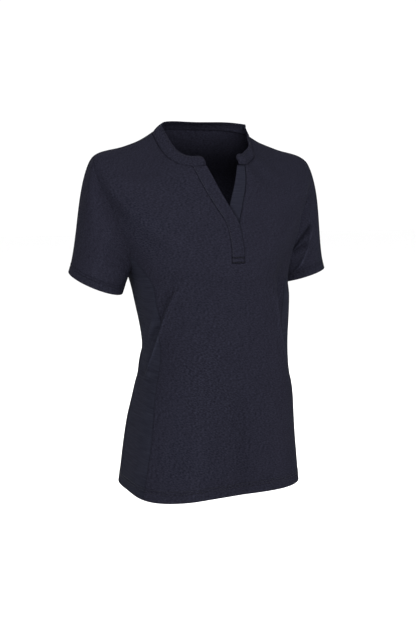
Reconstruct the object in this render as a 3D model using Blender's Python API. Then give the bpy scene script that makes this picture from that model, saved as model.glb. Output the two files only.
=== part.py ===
"""Women's short-sleeved polo shirt with a stand band and an open two-strip placket.

The shirt keeps the hollow form that it has when it is worn. X runs to the
wearer's left, the front faces -Y and Z is up. The origin is the middle of the
neck, at the height of the high points of the two shoulders.

One surface, form(phi, level), is the outside of the whole body of the shirt.
phi goes round it: 0 is the middle of the front, 90 degrees the wearer's left
side, 180 the middle of the back. level goes up it, and is the height that a
ring of the form has at the middle of the front. Every body piece is a patch of
that one surface, so neighbours meet along their seams with an even gap.
"""
import bpy
import numpy as np

# ---- driving dimensions, in metres -------------------------------------------------
BODY_CLOTH = 0.0015         # jersey, one layer
BAND_CLOTH = 0.0020         # folded double and sewn
SEAM_GAP = 0.0003           # between two pieces that are sewn edge to edge
SIDE_GAP = 0.0005           # at the side seams, which curve between the rows of points
HEM = -0.636                # the body's lower edge below the shoulder's high point
NECK = -0.055               # neck seam at the middle of the front
UNDERARM = -0.228           # level of the ring that passes under the arms
SHOULDER_TIP = -0.115       # level of the ring that passes the sleeve's top
ARMHOLE_STEPS = 16          # points of the armhole seam from the tip to the underarm
PANEL_STEPS = 5             # of them, those from the underarm up to each side seam
BAND_HEIGHT = 0.028         # at the front
BAND_BACK_HEIGHT = 0.0210
BAND_LEFT_FALL = 0.008      # it is lower behind the wearer's left shoulder
BAND_ROUNDING = 0.013       # radius of the band's two front corners
BAND_RIGHT_END = 0.0315     # distance of its front ends from the middle of the front
BAND_LEFT_END = 0.0340
BAND_LEAN = np.radians(45.0)        # how far it leans in over the neck, at the front
BAND_BACK_LEAN = np.radians(54.0)
BAND_LEFT_LEAN = np.radians(-31.0)  # it stands up more on the wearer's left
STRIP_END = UNDERARM + SEAM_GAP     # level of the square end of the placket

# Steps between the points of each piece, across and from hem to neck.
FRONT_HALF_STEPS = 13       # from the placket to one side seam
BACK_STEPS = 26
STRIP_STEPS = 4
BAND_STEPS = 56
BAND_UP_STEPS = 4
SLEEVE_DOWN_STEPS = 12
BELOW_STEPS = 15            # from the hem to the underarm
ABOVE_STEPS = 7             # from the shoulder's tip to the neck
SMALL_STEP = 1e-4           # used to measure directions on a surface

# Rings of the body, from the hem up. Heights and depths in metres, at the middle
# of the front (the level), the sides and the middle of the back. square is 2 for an
# oval and more for a squarer ring, drop shapes the rim's rise to the sides, and dip
# lowers it between the front and the wearer's right side.
RING_COLUMNS = ("level", "side_z", "back_z", "right", "left", "front_y", "side_y", "back_y",
                "front_square", "back_square", "drop", "dip")
RINGS = (
    (HEM, -0.633, -0.633, 0.164, 0.160, -0.117, -0.005, 0.120, 3.4, 2.8, 2.0, 0.003),  # hem
    (-0.520, -0.520, -0.520, 0.151, 0.153, -0.118, -0.005, 0.106, 3.0, 2.7, 2.0, 0),   # hip
    (-0.385, -0.385, -0.385, 0.124, 0.157, -0.118, 0.000, 0.080, 2.6, 2.4, 2.0, 0),    # waist
    (-0.300, -0.300, -0.300, 0.139, 0.157, -0.121, 0.000, 0.084, 2.4, 2.4, 2.0, 0),    # ribs
    (UNDERARM, -0.2455, -0.235, 0.154, 0.154, -0.126, 0.005, 0.095, 2.3, 2.3, 2.0, 0),  # bust
    (-0.165, -0.150, -0.150, 0.192, 0.188, -0.108, 0.015, 0.100, 2.2, 2.3, 2.0, 0),    # chest
    (SHOULDER_TIP, -0.042, -0.075, 0.2145, 0.213, -0.085, 0.020, 0.090, 2.2, 2.2, 1.6, 0),
    (-0.085, -0.022, -0.034, 0.155, 0.155, -0.074, 0.024, 0.075, 2.4, 2.2, 1.2, 0.003),  # yoke
    (NECK, -0.002, 0.0145, 0.097, 0.097, -0.062, 0.028, 0.060, 2.8, 2.4, 1.0, 0.006),    # neck seam
)

# Folds of the worn cloth: a ridge (height above 0) or a trough that runs from one
# place of the form to another. Angles in degrees, the rest in metres.
FOLD_COLUMNS = ("from_phi", "from_level", "to_phi", "to_level", "half_width", "height")
FOLDS = (
    (51.0, -0.290, 56.0, -0.365, 0.031, -0.030),     # hollow in front of the left side
    (-43.0, -0.285, -78.0, -0.420, 0.009, 0.0035),   # drag from the right bust to the waist
    (-47.0, -0.262, -66.0, -0.350, 0.009, -0.0030),
    (-148.0, -0.330, -112.0, -0.410, 0.012, 0.0035),  # its like on the back
    (150.0, -0.340, 112.0, -0.420, 0.012, 0.0035),
    (-100.0, -0.450, -74.0, -0.455, 0.030, 0.0035),  # fullness above the right hip
    (46.0, -0.045, 40.0, -0.075, 0.024, -0.0095),    # hollow beside the band on the left
    (68.0, -0.045, 60.0, -0.075, 0.022, -0.0060),
    (108.0, -0.045, 108.0, -0.060, 0.022, 0.0070),
)
SEAM_TURN = 0.03            # angle over which a seam's mitre is measured
FOLD_RADIUS = 0.14          # turns an angle into a girth when folds are measured
RIM_RISE = 1.35             # how soon, going round from the side, a ring is at its full drop

# Armhole: an oval in phi and level, round the side of the form.
ARMHOLE_FRONT = np.radians(17.0)
ARMHOLE_BACK = np.radians(20.0)


def armhole(turn):
    """Angle and level of the armhole seam; turn is 0 at the tip, 90 degrees in front."""
    level = UNDERARM + (SHOULDER_TIP - UNDERARM) * (1 + np.cos(turn)) / 2
    opened = np.where(np.sin(turn) > 0, ARMHOLE_FRONT, ARMHOLE_BACK)
    return np.pi / 2 - opened * np.sin(turn), level


PANEL_TURN = np.pi * (1 - PANEL_STEPS / ARMHOLE_STEPS)
PANEL_TOP = float(armhole(PANEL_TURN)[1])       # level where the side seams meet the armhole

# Seams between front and side panel, and side panel and back, from the armhole down.
SEAM_COLUMNS = ("level", "front_phi", "back_phi")
PANEL_TOP_BEND = 6          # power by which a side panel's rows bend to the armhole near its top
SIDE_SEAMS = (
    (HEM, 59.5, 104.0),
    (-0.540, 57.0, 104.0),
    (-0.410, 64.0, 106.0),
    (-0.310, 61.5, 106.0),
    (-0.240, 65.0, 104.0),
    (PANEL_TOP, 75.9, 106.6),
)

# Placket: where the edges of the upper strip lie across the front, as x.
# The under strip is its mirror image and lies one layer further in.
STRIP_COLUMNS = ("level", "outer_x", "inner_x")
STRIPS = (
    (STRIP_END, -0.0125, 0.0125),
    (-0.180, -0.0110, 0.0135),
    (-0.160, -0.0135, 0.0120),
    (-0.130, -0.0275, 0.0000),
    (-0.092, -0.0450, -0.0170),
    (NECK, -0.0560, -0.0310),
)

# Sleeve: the ring of its hem.
CUFF_CENTRE = np.array((0.2085, 0.0270, -0.2650))
CUFF_ACROSS = 0.049         # half its width, seen from the front
CUFF_DEPTH = 0.056          # half its width, seen from the side
CUFF_TILT = np.radians(17.0)
CUFF_RIGHT_FALL = 0.014     # the front of the right sleeve's hem hangs lower
CUFF_LEFT_FALL = -0.004     # and that of the left one is lifted
# Directions of the sleeve's cloth, as out, back and up: where it leaves the armhole,
# at the front and back, the top and the underarm, and where it comes to the hem.
LEAVE_SIDES = np.array((0.38, 0.0, -0.85))
LEAVE_TOP = np.array((0.37, 0.0, -0.57))
LEAVE_UNDERARM = np.array((0.28, 0.0, -0.85))
LEAVE_FORWARD = 0.35        # and forward at the front, back at the back
ARRIVE = np.array((0.34, 0.0, -0.960))
LEAVE_PULL = 0.9            # how far each direction is kept, as a share of the sleeve's length
ARRIVE_PULL = 0.8

# Finishes: base colour, roughness.
HEATHER = ((0.022, 0.023, 0.040, 1.0), 0.85)
SLUB = ((0.028, 0.032, 0.056, 1.0), 0.75)


# ---- the form ------------------------------------------------------------------------
def along(table, level):
    """Read every column of a table at the given levels, smoothly from row to row."""
    rows = np.array(table, dtype=float)
    keys = rows[:, 0]
    values = rows[:, 1:]
    slopes = np.gradient(values, keys, axis=0)
    level = np.clip(np.asarray(level, dtype=float), keys.min(), keys.max())
    low = np.clip(np.searchsorted(keys, level, side="right") - 1, 0, len(keys) - 2)
    step = (keys[low + 1] - keys[low])[..., None]
    t = (level - keys[low])[..., None] / step
    return ((2 * t**3 - 3 * t**2 + 1) * values[low]
            + (t**3 - 2 * t**2 + t) * step * slopes[low]
            + (3 * t**2 - 2 * t**3) * values[low + 1]
            + (t**3 - t**2) * step * slopes[low + 1])


def named(table, columns, level):
    """The columns of a table at the given levels, by name."""
    values = along(table, level)
    return {name: values[..., place] for place, name in enumerate(columns[1:])}


def folds(phi, level):
    """Sum of the folds' heights: each is a bell across its line, and fades past its ends."""
    girth = phi * FOLD_RADIUS
    total = np.zeros_like(girth)
    for from_phi, from_level, to_phi, to_level, half_width, height in FOLDS:
        start = np.array((np.radians(from_phi) * FOLD_RADIUS, from_level))
        run = np.array((np.radians(to_phi) * FOLD_RADIUS, to_level)) - start
        length = np.hypot(*run)
        east = girth - start[0]
        north = level - start[1]
        ahead = (east * run[0] + north * run[1]) / length
        aside = (east * run[1] - north * run[0]) / length
        beyond = np.maximum(np.abs(ahead - length / 2) - length / 2, 0.0)
        total += height * np.exp(-(aside / half_width) ** 2 - (beyond / (2 * half_width)) ** 2)
    return total


def form(phi, level):
    """Outside of the body: a rounded oval at each level, its rim rising from front to side."""
    phi, level = np.broadcast_arrays(np.asarray(phi, dtype=float), np.asarray(level, dtype=float))
    ring = named(RINGS, RING_COLUMNS, level)
    across = np.sin(phi)
    ahead = np.cos(phi)
    in_front = ahead >= 0
    square = np.where(in_front, ring["front_square"], ring["back_square"])
    reach = (np.abs(across) ** square + np.abs(ahead) ** square) ** (-1.0 / square)
    x = np.where(across > 0, ring["left"], ring["right"]) * across * reach
    deepest = np.where(in_front, ring["front_y"], ring["back_y"])
    y = ring["side_y"] + (deepest - ring["side_y"]) * np.abs(ahead) * reach
    from_side = np.arcsin(np.clip(np.abs(ahead), 0, 1))
    fall = np.sin(np.minimum(RIM_RISE * from_side, np.pi / 2)) ** ring["drop"]
    middle_z = np.where(in_front, level, ring["back_z"])
    z = ring["side_z"] + (middle_z - ring["side_z"]) * fall
    z = z - np.where(in_front & (across < 0), ring["dip"], 0) * np.sin(2 * from_side) ** 2
    out = folds(np.where(phi > np.pi, phi - 2 * np.pi, phi), level)
    return np.stack((x + out * across, y - out * ahead, z), axis=-1)


def unit(vectors):
    """Vectors of length one."""
    return vectors / np.linalg.norm(vectors, axis=-1, keepdims=True)


def form_normal(phi, level, turn=SMALL_STEP):
    """Outward normal of the form, from a small step each way; turn is the step round it."""
    round_it = form(phi + turn, level) - form(phi - turn, level)
    low = np.clip(level - SMALL_STEP, HEM, NECK)
    high = np.clip(level + SMALL_STEP, HEM, NECK)
    up_it = form(phi, high) - form(phi, low)
    return unit(np.cross(round_it, up_it))


def metres_round(phi, level):
    """Length of the form's surface for one radian of phi."""
    run = form(phi + SMALL_STEP, level) - form(phi - SMALL_STEP, level)
    return np.linalg.norm(run, axis=-1) / (2 * SMALL_STEP)


def phi_at(x, level):
    """Angle at which the front of a ring is x metres from its middle."""
    ring = named(RINGS, RING_COLUMNS, level)
    square = ring["front_square"]
    q = np.abs(x) / np.where(x > 0, ring["left"], ring["right"])
    return np.sign(x) * np.arctan(q / (1 - q**square) ** (1 / square))


def armhole_height(level):
    """Place of a level between the underarm, -1, and the shoulder tip, 1."""
    return 2 * (level - UNDERARM) / (SHOULDER_TIP - UNDERARM) - 1


def front_edge(level):
    """Angle of the front's edge: side seam, then armhole, then shoulder seam."""
    seam = np.radians(named(SIDE_SEAMS, SEAM_COLUMNS, level)["front_phi"])
    oval = np.sqrt(np.clip(1 - armhole_height(level) ** 2, 0, 1))
    upper = np.pi / 2 - ARMHOLE_FRONT * oval
    return np.where(level < PANEL_TOP, seam, np.where(level < SHOULDER_TIP, upper, np.pi / 2))


def back_edge(level):
    """Angle of the back's edge: side seam, then armhole, then shoulder seam."""
    seam = np.radians(named(SIDE_SEAMS, SEAM_COLUMNS, level)["back_phi"])
    oval = np.sqrt(np.clip(1 - armhole_height(level) ** 2, 0, 1))
    upper = np.pi / 2 + ARMHOLE_BACK * oval
    return np.where(level < PANEL_TOP, seam, np.where(level < SHOULDER_TIP, upper, np.pi / 2))


# ---- walls ---------------------------------------------------------------------------
def finish(colour, roughness, name):
    """A plain cloth finish."""
    material = bpy.data.materials.new(name)
    material.use_nodes = True
    shader = material.node_tree.nodes["Principled BSDF"]
    shader.inputs["Base Color"].default_value = colour
    shader.inputs["Roughness"].default_value = roughness
    shader.inputs["Metallic"].default_value = 0.0
    return material


def wall(name, outside, inside, cloth, kept=None, tube=False):
    """Closed cloth wall between two grids of points, rows by columns.

    Outside faces point out when the columns run to the right of the rows, seen
    from outside. kept says which cells of the grid there are, and tube joins the
    last column to the first.
    """
    rows, columns = outside.shape[:2]
    spans = columns if tube else columns - 1
    if kept is None:
        kept = np.ones((rows - 1, spans), dtype=bool)
    layer = rows * columns

    def corner(row, column, deep):
        return deep * layer + row * columns + column % columns

    def there(row, column):
        if tube:
            column %= spans
        return 0 <= row < rows - 1 and 0 <= column < spans and kept[row, column]

    faces = []
    for row in range(rows - 1):
        for column in range(spans):
            if not kept[row, column]:
                continue
            ring = [(row, column), (row, column + 1), (row + 1, column + 1), (row + 1, column)]
            faces.append([corner(*place, 0) for place in ring])
            faces.append([corner(*place, 1) for place in reversed(ring)])
            neighbours = [(row - 1, column), (row, column + 1), (row + 1, column), (row, column - 1)]
            for side, neighbour in enumerate(neighbours):
                if there(*neighbour):
                    continue
                first = ring[side]
                second = ring[(side + 1) % 4]
                faces.append([corner(*second, 0), corner(*first, 0),
                              corner(*first, 1), corner(*second, 1)])
    points = np.concatenate((outside.reshape(-1, 3), inside.reshape(-1, 3)))
    used = np.unique(np.concatenate([np.array(face) for face in faces]))
    place_of = np.full(len(points), -1)
    place_of[used] = np.arange(len(used))
    mesh = bpy.data.meshes.new(name)
    mesh.from_pydata(points[used].tolist(), [], [place_of[face].tolist() for face in faces])
    mesh.materials.append(cloth)
    mesh.shade_smooth()
    mesh.set_sharp_from_angle(angle=np.radians(50))
    piece = bpy.data.objects.new(name, mesh)
    bpy.context.collection.objects.link(piece)
    return piece


def patch(name, phi, level, cloth, thickness=BODY_CLOTH, lift=0.0, kept=None):
    """Wall cut from the form, its outside moved out by lift.

    Its side edges take the mean direction across the seam, as its neighbour's do,
    so that the two walls meet in a mitre.
    """
    normal = form_normal(phi, level)
    for edge in (0, -1):
        normal[:, edge] = form_normal(phi[:, edge], level[:, edge], SEAM_TURN)
    outside = form(phi, level) + lift * normal
    return wall(name, outside, outside - thickness * normal, cloth, kept)


# ---- the pieces ----------------------------------------------------------------------
def body_levels():
    """Levels of a panel's rows from hem to neck; the armhole's points set those beside it."""
    below = np.linspace(HEM, UNDERARM, BELOW_STEPS + 1)
    beside = armhole(np.linspace(np.pi, 0, ARMHOLE_STEPS + 1))[1]
    above = np.linspace(SHOULDER_TIP, NECK - 2 * SEAM_GAP, ABOVE_STEPS + 1)
    return np.concatenate((below, beside[1:], above[1:]))


def strip_edges(level):
    """The two edges of the upper strip as angles, outer first."""
    edges = named(STRIPS, STRIP_COLUMNS, level)
    return phi_at(edges["outer_x"], level), phi_at(edges["inner_x"], level)


def front(cloth):
    """Front: one panel with a slot that the placket's strips fill."""
    levels = body_levels()
    edge = front_edge(levels)
    edge = edge - SEAM_GAP / 2 / metres_round(edge, levels)
    outer, inner = strip_edges(levels)
    gap = SEAM_GAP / metres_round(0 * levels, levels)
    spread = np.linspace(0, 1, FRONT_HALF_STEPS + 1)[None, :]
    slot_right = (outer - gap)[:, None]
    slot_left = (np.maximum(-outer, inner) + gap)[:, None]
    right = slot_right + (-edge[:, None] - slot_right) * spread[:, ::-1]
    left = slot_left + (edge[:, None] - slot_left) * spread
    phi = np.concatenate((right, left), axis=1)
    kept = np.ones((len(levels) - 1, phi.shape[1] - 1), dtype=bool)
    kept[levels[1:] > UNDERARM + SEAM_GAP, right.shape[1] - 1] = False
    return patch("front", phi, levels[:, None] + 0 * phi, cloth, kept=kept)


def back(cloth):
    """Back: one whole panel from side seam to side seam."""
    levels = body_levels()
    edge = back_edge(levels)
    edge = edge + SEAM_GAP / 2 / metres_round(edge, levels)
    spread = np.linspace(0, 1, BACK_STEPS + 1)
    phi = edge[:, None] + (2 * np.pi - 2 * edge)[:, None] * spread[None, :]
    return patch("back", phi, levels[:, None] + 0 * phi, cloth)


def side_panel(name, side, cloth):
    """Side panel: from the hem to the bottom of the armhole, side is 1 for the left.

    Its rows end on its seams where the front's and the back's rows do, and its top
    follows the armhole's points.
    """
    levels = body_levels()
    up = (levels[levels < PANEL_TOP + SEAM_GAP] - HEM)[:, None] / (PANEL_TOP - HEM)
    across = np.linspace(0, 1, 2 * PANEL_STEPS + 1)[None, :]
    top_phi, top = armhole(PANEL_TURN + 2 * (np.pi - PANEL_TURN) * across)
    level = HEM + (top - HEM) * up
    seams = named(SIDE_SEAMS, SEAM_COLUMNS, level)
    front_phi = np.radians(seams["front_phi"])
    back_phi = np.radians(seams["back_phi"])
    gap = (SIDE_GAP - SEAM_GAP / 2) / metres_round(front_phi, level)
    phi = front_phi + (back_phi - front_phi) * across
    phi += (top_phi - phi[-1:]) * up**PANEL_TOP_BEND
    phi += gap * (1 - 2 * across)
    if side < 0:
        phi = -phi[:, ::-1]
        level = level[:, ::-1]
    return patch(name, phi, level, cloth)


def sleeve_surface(side, turn, down):
    """Outside of a sleeve: curves from the armhole seam to the hem's ring.

    Each curve leaves the armhole along the cloth's own direction there and comes
    to the hem along the arm, so the cap is round and the underarm short.
    """
    top = np.cos(turn)
    toward_front = np.sin(turn)
    seam_phi, seam_level = armhole(turn)
    start = form(side * seam_phi, seam_level)
    outward = np.array((np.cos(CUFF_TILT), 0, np.sin(CUFF_TILT)))
    fall = CUFF_LEFT_FALL if side > 0 else CUFF_RIGHT_FALL
    end = (CUFF_CENTRE + CUFF_ACROSS * top[..., None] * outward
           + toward_front[..., None] * np.array((0, -CUFF_DEPTH, -fall)))
    leave = (LEAVE_SIDES + np.maximum(top, 0)[..., None] * (LEAVE_TOP - LEAVE_SIDES)
             + np.maximum(-top, 0)[..., None] * (LEAVE_UNDERARM - LEAVE_SIDES))
    leave[..., 1] -= LEAVE_FORWARD * toward_front
    arrive = ARRIVE + np.zeros_like(end)
    for vectors in (end, leave, arrive):
        vectors[..., 0] *= side
    start = start + SEAM_GAP * unit(leave)
    reach = np.linalg.norm(end - start, axis=-1, keepdims=True)
    s = down[..., None]
    return ((2 * s**3 - 3 * s**2 + 1) * start
            + (s**3 - 2 * s**2 + s) * LEAVE_PULL * reach * leave
            + (3 * s**2 - 2 * s**3) * end
            + (s**3 - s**2) * ARRIVE_PULL * reach * arrive)


def sleeve(name, side, cloth):
    """Sleeve: a short tube from the armhole to its hem."""
    around = np.linspace(0, 2 * np.pi, 2 * ARMHOLE_STEPS + 1)[:-1]
    down = np.linspace(0, 1, SLEEVE_DOWN_STEPS + 1)
    turn, fall = np.meshgrid(-side * around, down)
    outside = sleeve_surface(side, turn, fall)
    round_it = (sleeve_surface(side, turn + SMALL_STEP, fall)
                - sleeve_surface(side, turn - SMALL_STEP, fall))
    down_it = sleeve_surface(side, turn, fall + SMALL_STEP) - outside
    normal = unit(np.cross(round_it, down_it)) * side
    seam_phi, seam_level = armhole(turn[0])
    panel_normal = form_normal(side * seam_phi, seam_level, SEAM_TURN)
    turns_in = np.sum((outside[1] - outside[0]) * panel_normal, axis=-1) < 0
    normal[0] = np.where(turns_in[:, None], panel_normal, normal[0])
    return wall(name, outside[::-1], (outside - BODY_CLOTH * normal)[::-1], cloth, tube=True)


def band_surface(phi, height):
    """Outside of the stand band: it leans in from the neck seam, most at the back."""
    base = form(phi, NECK + 0 * phi)
    along_it = form(phi + SMALL_STEP, NECK + 0 * phi) - form(phi - SMALL_STEP, NECK + 0 * phi)
    inward = unit(np.cross(np.array((0, 0, 1.0)), along_it))
    toward_back = (1 - np.cos(phi)) / 2
    lean = (BAND_LEAN + (BAND_BACK_LEAN - BAND_LEAN) * toward_back
            + BAND_LEFT_LEAN * np.maximum(np.sin(phi), 0))
    rise = inward * np.sin(lean)[..., None] + np.array((0, 0, 1.0)) * np.cos(lean)[..., None]
    return base + height[..., None] * rise


def band(cloth):
    """Stand band round the neck, its front corners rounded."""
    start = float(phi_at(BAND_LEFT_END, NECK))
    end = 2 * np.pi + float(phi_at(-BAND_RIGHT_END, NECK))
    run = np.linspace(start, end, BAND_STEPS + 1)
    rows = np.linspace(0, 1, BAND_UP_STEPS + 1)
    phi, share = np.meshgrid(run, rows)
    girth = np.minimum(phi - start, end - phi) * metres_round(phi, NECK + 0 * phi)
    corner = np.clip(1 - girth / BAND_ROUNDING, 0, 1)
    tall = BAND_HEIGHT + (BAND_BACK_HEIGHT - BAND_HEIGHT) * (1 - np.cos(phi)) / 2
    tall = tall - BAND_LEFT_FALL * np.maximum(np.sin(phi), 0) * ((1 - np.cos(phi)) / 2) ** 2
    tall = tall - BAND_ROUNDING * (1 - np.sqrt(1 - corner**2))
    height = SEAM_GAP + (tall - SEAM_GAP) * share
    outside = band_surface(phi, height)
    round_it = band_surface(phi + SMALL_STEP, height) - band_surface(phi - SMALL_STEP, height)
    up_it = band_surface(phi, height + SMALL_STEP) - outside
    normal = unit(np.cross(round_it, up_it))
    normal[0] = form_normal(phi[0], NECK + 0 * phi[0])
    return wall("collar_band", outside, outside - BAND_CLOTH * normal, cloth)


def strip(name, side, lift, cloth):
    """One strip of the placket; side is -1 for the upper one, on the wearer's right."""
    levels = body_levels()
    levels = np.concatenate(((STRIP_END,), levels[levels > STRIP_END]))
    outer, inner = strip_edges(levels)
    spread = np.linspace(0, 1, STRIP_STEPS + 1)[None, :]
    phi = outer[:, None] + (inner - outer)[:, None] * spread
    if side > 0:
        phi = -phi[:, ::-1]
    return patch(name, phi, levels[:, None] + 0 * phi, cloth, lift=lift)


def main():
    """Make every piece."""
    for thing in list(bpy.data.objects):
        bpy.data.objects.remove(thing, do_unlink=True)
    heather = finish(*HEATHER, "heather_jersey")
    slub = finish(*SLUB, "slub_jersey")
    front(heather)
    back(heather)
    side_panel("side_panel_left", 1, slub)
    side_panel("side_panel_right", -1, slub)
    sleeve("sleeve_left", 1, heather)
    sleeve("sleeve_right", -1, heather)
    band(heather)
    strip("placket_upper", -1, 0.0, heather)
    strip("placket_under", 1, -BODY_CLOTH - SEAM_GAP, slub)


main()
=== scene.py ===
# %% [markdown]
# # A polo shirt in two jerseys, kept in its worn form
#
# The shirt is a women's short-sleeved polo with a stand band and an open placket.
# It is shown filled out, as on a wearer, but empty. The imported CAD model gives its
# nine cut pieces as plain walls of cloth. This lesson builds the same nine pieces
# again, finer and thinner, with creases, rolled seams, hems, stitches and knitted
# finishes, so each one stands exactly where its CAD node does.

import bpy
import numpy as np
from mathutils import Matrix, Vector


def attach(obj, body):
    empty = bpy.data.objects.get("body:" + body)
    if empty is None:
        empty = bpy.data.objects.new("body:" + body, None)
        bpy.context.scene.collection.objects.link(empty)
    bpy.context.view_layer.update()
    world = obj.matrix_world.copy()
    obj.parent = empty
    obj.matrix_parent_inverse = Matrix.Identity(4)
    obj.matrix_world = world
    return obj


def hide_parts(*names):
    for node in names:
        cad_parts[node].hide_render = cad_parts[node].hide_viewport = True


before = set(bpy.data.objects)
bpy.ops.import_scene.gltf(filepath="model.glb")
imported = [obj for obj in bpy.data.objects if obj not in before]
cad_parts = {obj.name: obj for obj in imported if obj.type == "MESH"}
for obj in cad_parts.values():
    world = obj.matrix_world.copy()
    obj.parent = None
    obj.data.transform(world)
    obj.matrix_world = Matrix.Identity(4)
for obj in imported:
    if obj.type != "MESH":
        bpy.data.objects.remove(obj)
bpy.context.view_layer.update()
print("CAD nodes:", sorted(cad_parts))


def added(name, data):
    """A new object in the scene that shows the given camera, lamp or mesh."""
    thing = bpy.data.objects.new(name, data)
    bpy.context.scene.collection.objects.link(thing)
    return thing


# %% [markdown]
# ## The camera
#
# The photograph looks at the shirt from its wearer's right front, almost level and
# from about two metres. A camera could be turned by hand until it looks right. Here
# its place comes from fitting the hem, the shoulders and the outline, so it is given
# as numbers. A small shift keeps the upright edges upright, as in the photograph.

# %% Camera
CAMERA_PLACE = (-0.7891, -1.6840, -0.1046)
CAMERA_YAW = np.radians(25.107)     # how far it looks to the wearer's left of straight back
CAMERA_PITCH = np.radians(1.839)    # how far it looks down
CAMERA_LENS = 58.356                # millimetres, on a sensor of 36
CAMERA_SHIFT = -0.14                # share of the picture's height

camera = added("camera", bpy.data.cameras.new("camera"))
looking = Vector((np.sin(CAMERA_YAW) * np.cos(CAMERA_PITCH),
                  np.cos(CAMERA_YAW) * np.cos(CAMERA_PITCH),
                  -np.sin(CAMERA_PITCH)))
camera.location = CAMERA_PLACE
camera.rotation_mode = "QUATERNION"
camera.rotation_quaternion = looking.to_track_quat("-Z", "Y")
camera.data.lens = CAMERA_LENS
camera.data.shift_y = CAMERA_SHIFT
bpy.context.scene.camera = camera
print("camera is", round(Vector(CAMERA_PLACE).length, 2), "m from the neck")

# %% [markdown]
# ## Light and floor
#
# Dark cloth on white is lit by big soft sources, or its folds turn black. A white
# world gives light from all sides, and wide lamps in front and at each side add enough
# direction to show the form and its creases. One more lamp lights the back, for other
# views. The floor is white too, and lies well under the hem, so no shadow touches the
# cloth.

# %% Light and floor
WORLD_LIGHT = 1.06
LAMPS = {                   # place and watts of each
    "lamp_front": ((-0.45, -2.45, 0.85), 100.0),
    "lamp_right": ((-2.25, -1.15, 1.05), 60.0),
    "lamp_left": ((1.60, -1.90, 1.05), 44.0),
    "lamp_back": ((0.30, 2.30, 1.45), 70.0),
}
LAMP_WIDTH = 1.6
LAMP_AIM = Vector((0, 0, -0.3))
FLOOR_HEIGHT = -0.80
FLOOR_HALF = 14.0
FLOOR_COLOUR = (0.93, 0.93, 0.93, 1.0)
FLOOR_ROUGHNESS = 0.9

bpy.context.scene.view_settings.view_transform = "Standard"
world = bpy.data.worlds.new("studio")
world.use_nodes = True
background = world.node_tree.nodes["Background"]
background.inputs["Color"].default_value = (1.0, 1.0, 1.0, 1.0)
background.inputs["Strength"].default_value = WORLD_LIGHT
bpy.context.scene.world = world

for lamp_name, (place, watts) in LAMPS.items():
    lamp = added(lamp_name, bpy.data.lights.new(lamp_name, "AREA"))
    lamp.data.size = LAMP_WIDTH
    lamp.data.energy = watts
    lamp.location = place
    lamp.rotation_mode = "QUATERNION"
    lamp.rotation_quaternion = (LAMP_AIM - lamp.location).to_track_quat("-Z", "Y")

floor_mesh = bpy.data.meshes.new("floor")
floor_corners = [(x * FLOOR_HALF, y * FLOOR_HALF, FLOOR_HEIGHT)
                 for x, y in ((-1, -1), (1, -1), (1, 1), (-1, 1))]
floor_mesh.from_pydata(floor_corners, [], [(0, 1, 2, 3)])
floor_paint = bpy.data.materials.new("floor_paint")
floor_paint.use_nodes = True
floor_shader = floor_paint.node_tree.nodes["Principled BSDF"]
floor_shader.inputs["Base Color"].default_value = FLOOR_COLOUR
floor_shader.inputs["Roughness"].default_value = FLOOR_ROUGHNESS
floor_mesh.materials.append(floor_paint)
added("floor", floor_mesh)
print(len(LAMPS), "lamps, floor at", round(FLOOR_HEIGHT, 3), "m")

# %% [markdown]
# ## The form of the body
#
# A worn shirt is a tube that changes its outline from the hem to the neck. It could
# be sculpted, or draped on a figure. A short table of rings says the same with a few
# sizes that can be read and changed: how high, wide and deep the tube is at nine
# levels. `form(phi, level)` then gives the point of the cloth at an angle round the
# body and a level up it, and every cut piece is a patch of that one surface.

# %% Rings of the body
HEM = -0.636                # lower edge below the shoulder's high point
NECK = -0.055               # neck seam at the middle of the front
UNDERARM = -0.228
SHOULDER_TIP = -0.115
RIM_RISE = 1.35             # how soon, going round from the side, a ring is at its full drop

RING_COLUMNS = ("level", "side_z", "back_z", "right", "left", "front_y", "side_y", "back_y",
                "front_square", "back_square", "drop", "dip")
RINGS = (
    (HEM, -0.633, -0.633, 0.164, 0.160, -0.117, -0.005, 0.120, 3.4, 2.8, 2.0, 0.003),  # hem
    (-0.520, -0.520, -0.520, 0.151, 0.153, -0.118, -0.005, 0.106, 3.0, 2.7, 2.0, 0),   # hip
    (-0.385, -0.385, -0.385, 0.124, 0.157, -0.118, 0.000, 0.080, 2.6, 2.4, 2.0, 0),    # waist
    (-0.300, -0.300, -0.300, 0.139, 0.157, -0.121, 0.000, 0.084, 2.4, 2.4, 2.0, 0),    # ribs
    (UNDERARM, -0.2455, -0.235, 0.154, 0.154, -0.126, 0.005, 0.095, 2.3, 2.3, 2.0, 0),  # bust
    (-0.165, -0.150, -0.150, 0.192, 0.188, -0.108, 0.015, 0.100, 2.2, 2.3, 2.0, 0),    # chest
    (SHOULDER_TIP, -0.042, -0.075, 0.2145, 0.213, -0.085, 0.020, 0.090, 2.2, 2.2, 1.6, 0),
    (-0.085, -0.022, -0.034, 0.155, 0.155, -0.074, 0.024, 0.075, 2.4, 2.2, 1.2, 0.003),  # yoke
    (NECK, -0.002, 0.0145, 0.097, 0.097, -0.062, 0.028, 0.060, 2.8, 2.4, 1.0, 0.006),    # neck seam
)


def along(table, level):
    """Table values between its rows: on each span, the cubic with both rows' values and slopes."""
    rows = np.array(table, dtype=float)
    keys = rows[:, 0]
    values = rows[:, 1:]
    slopes = np.gradient(values, keys, axis=0)
    level = np.clip(np.asarray(level, dtype=float), keys.min(), keys.max())
    low = np.clip(np.searchsorted(keys, level, side="right") - 1, 0, len(keys) - 2)
    step = (keys[low + 1] - keys[low])[..., None]
    t = (level - keys[low])[..., None] / step
    return ((2 * t**3 - 3 * t**2 + 1) * values[low]
            + (t**3 - 2 * t**2 + t) * step * slopes[low]
            + (3 * t**2 - 2 * t**3) * values[low + 1]
            + (t**3 - t**2) * step * slopes[low + 1])


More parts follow.
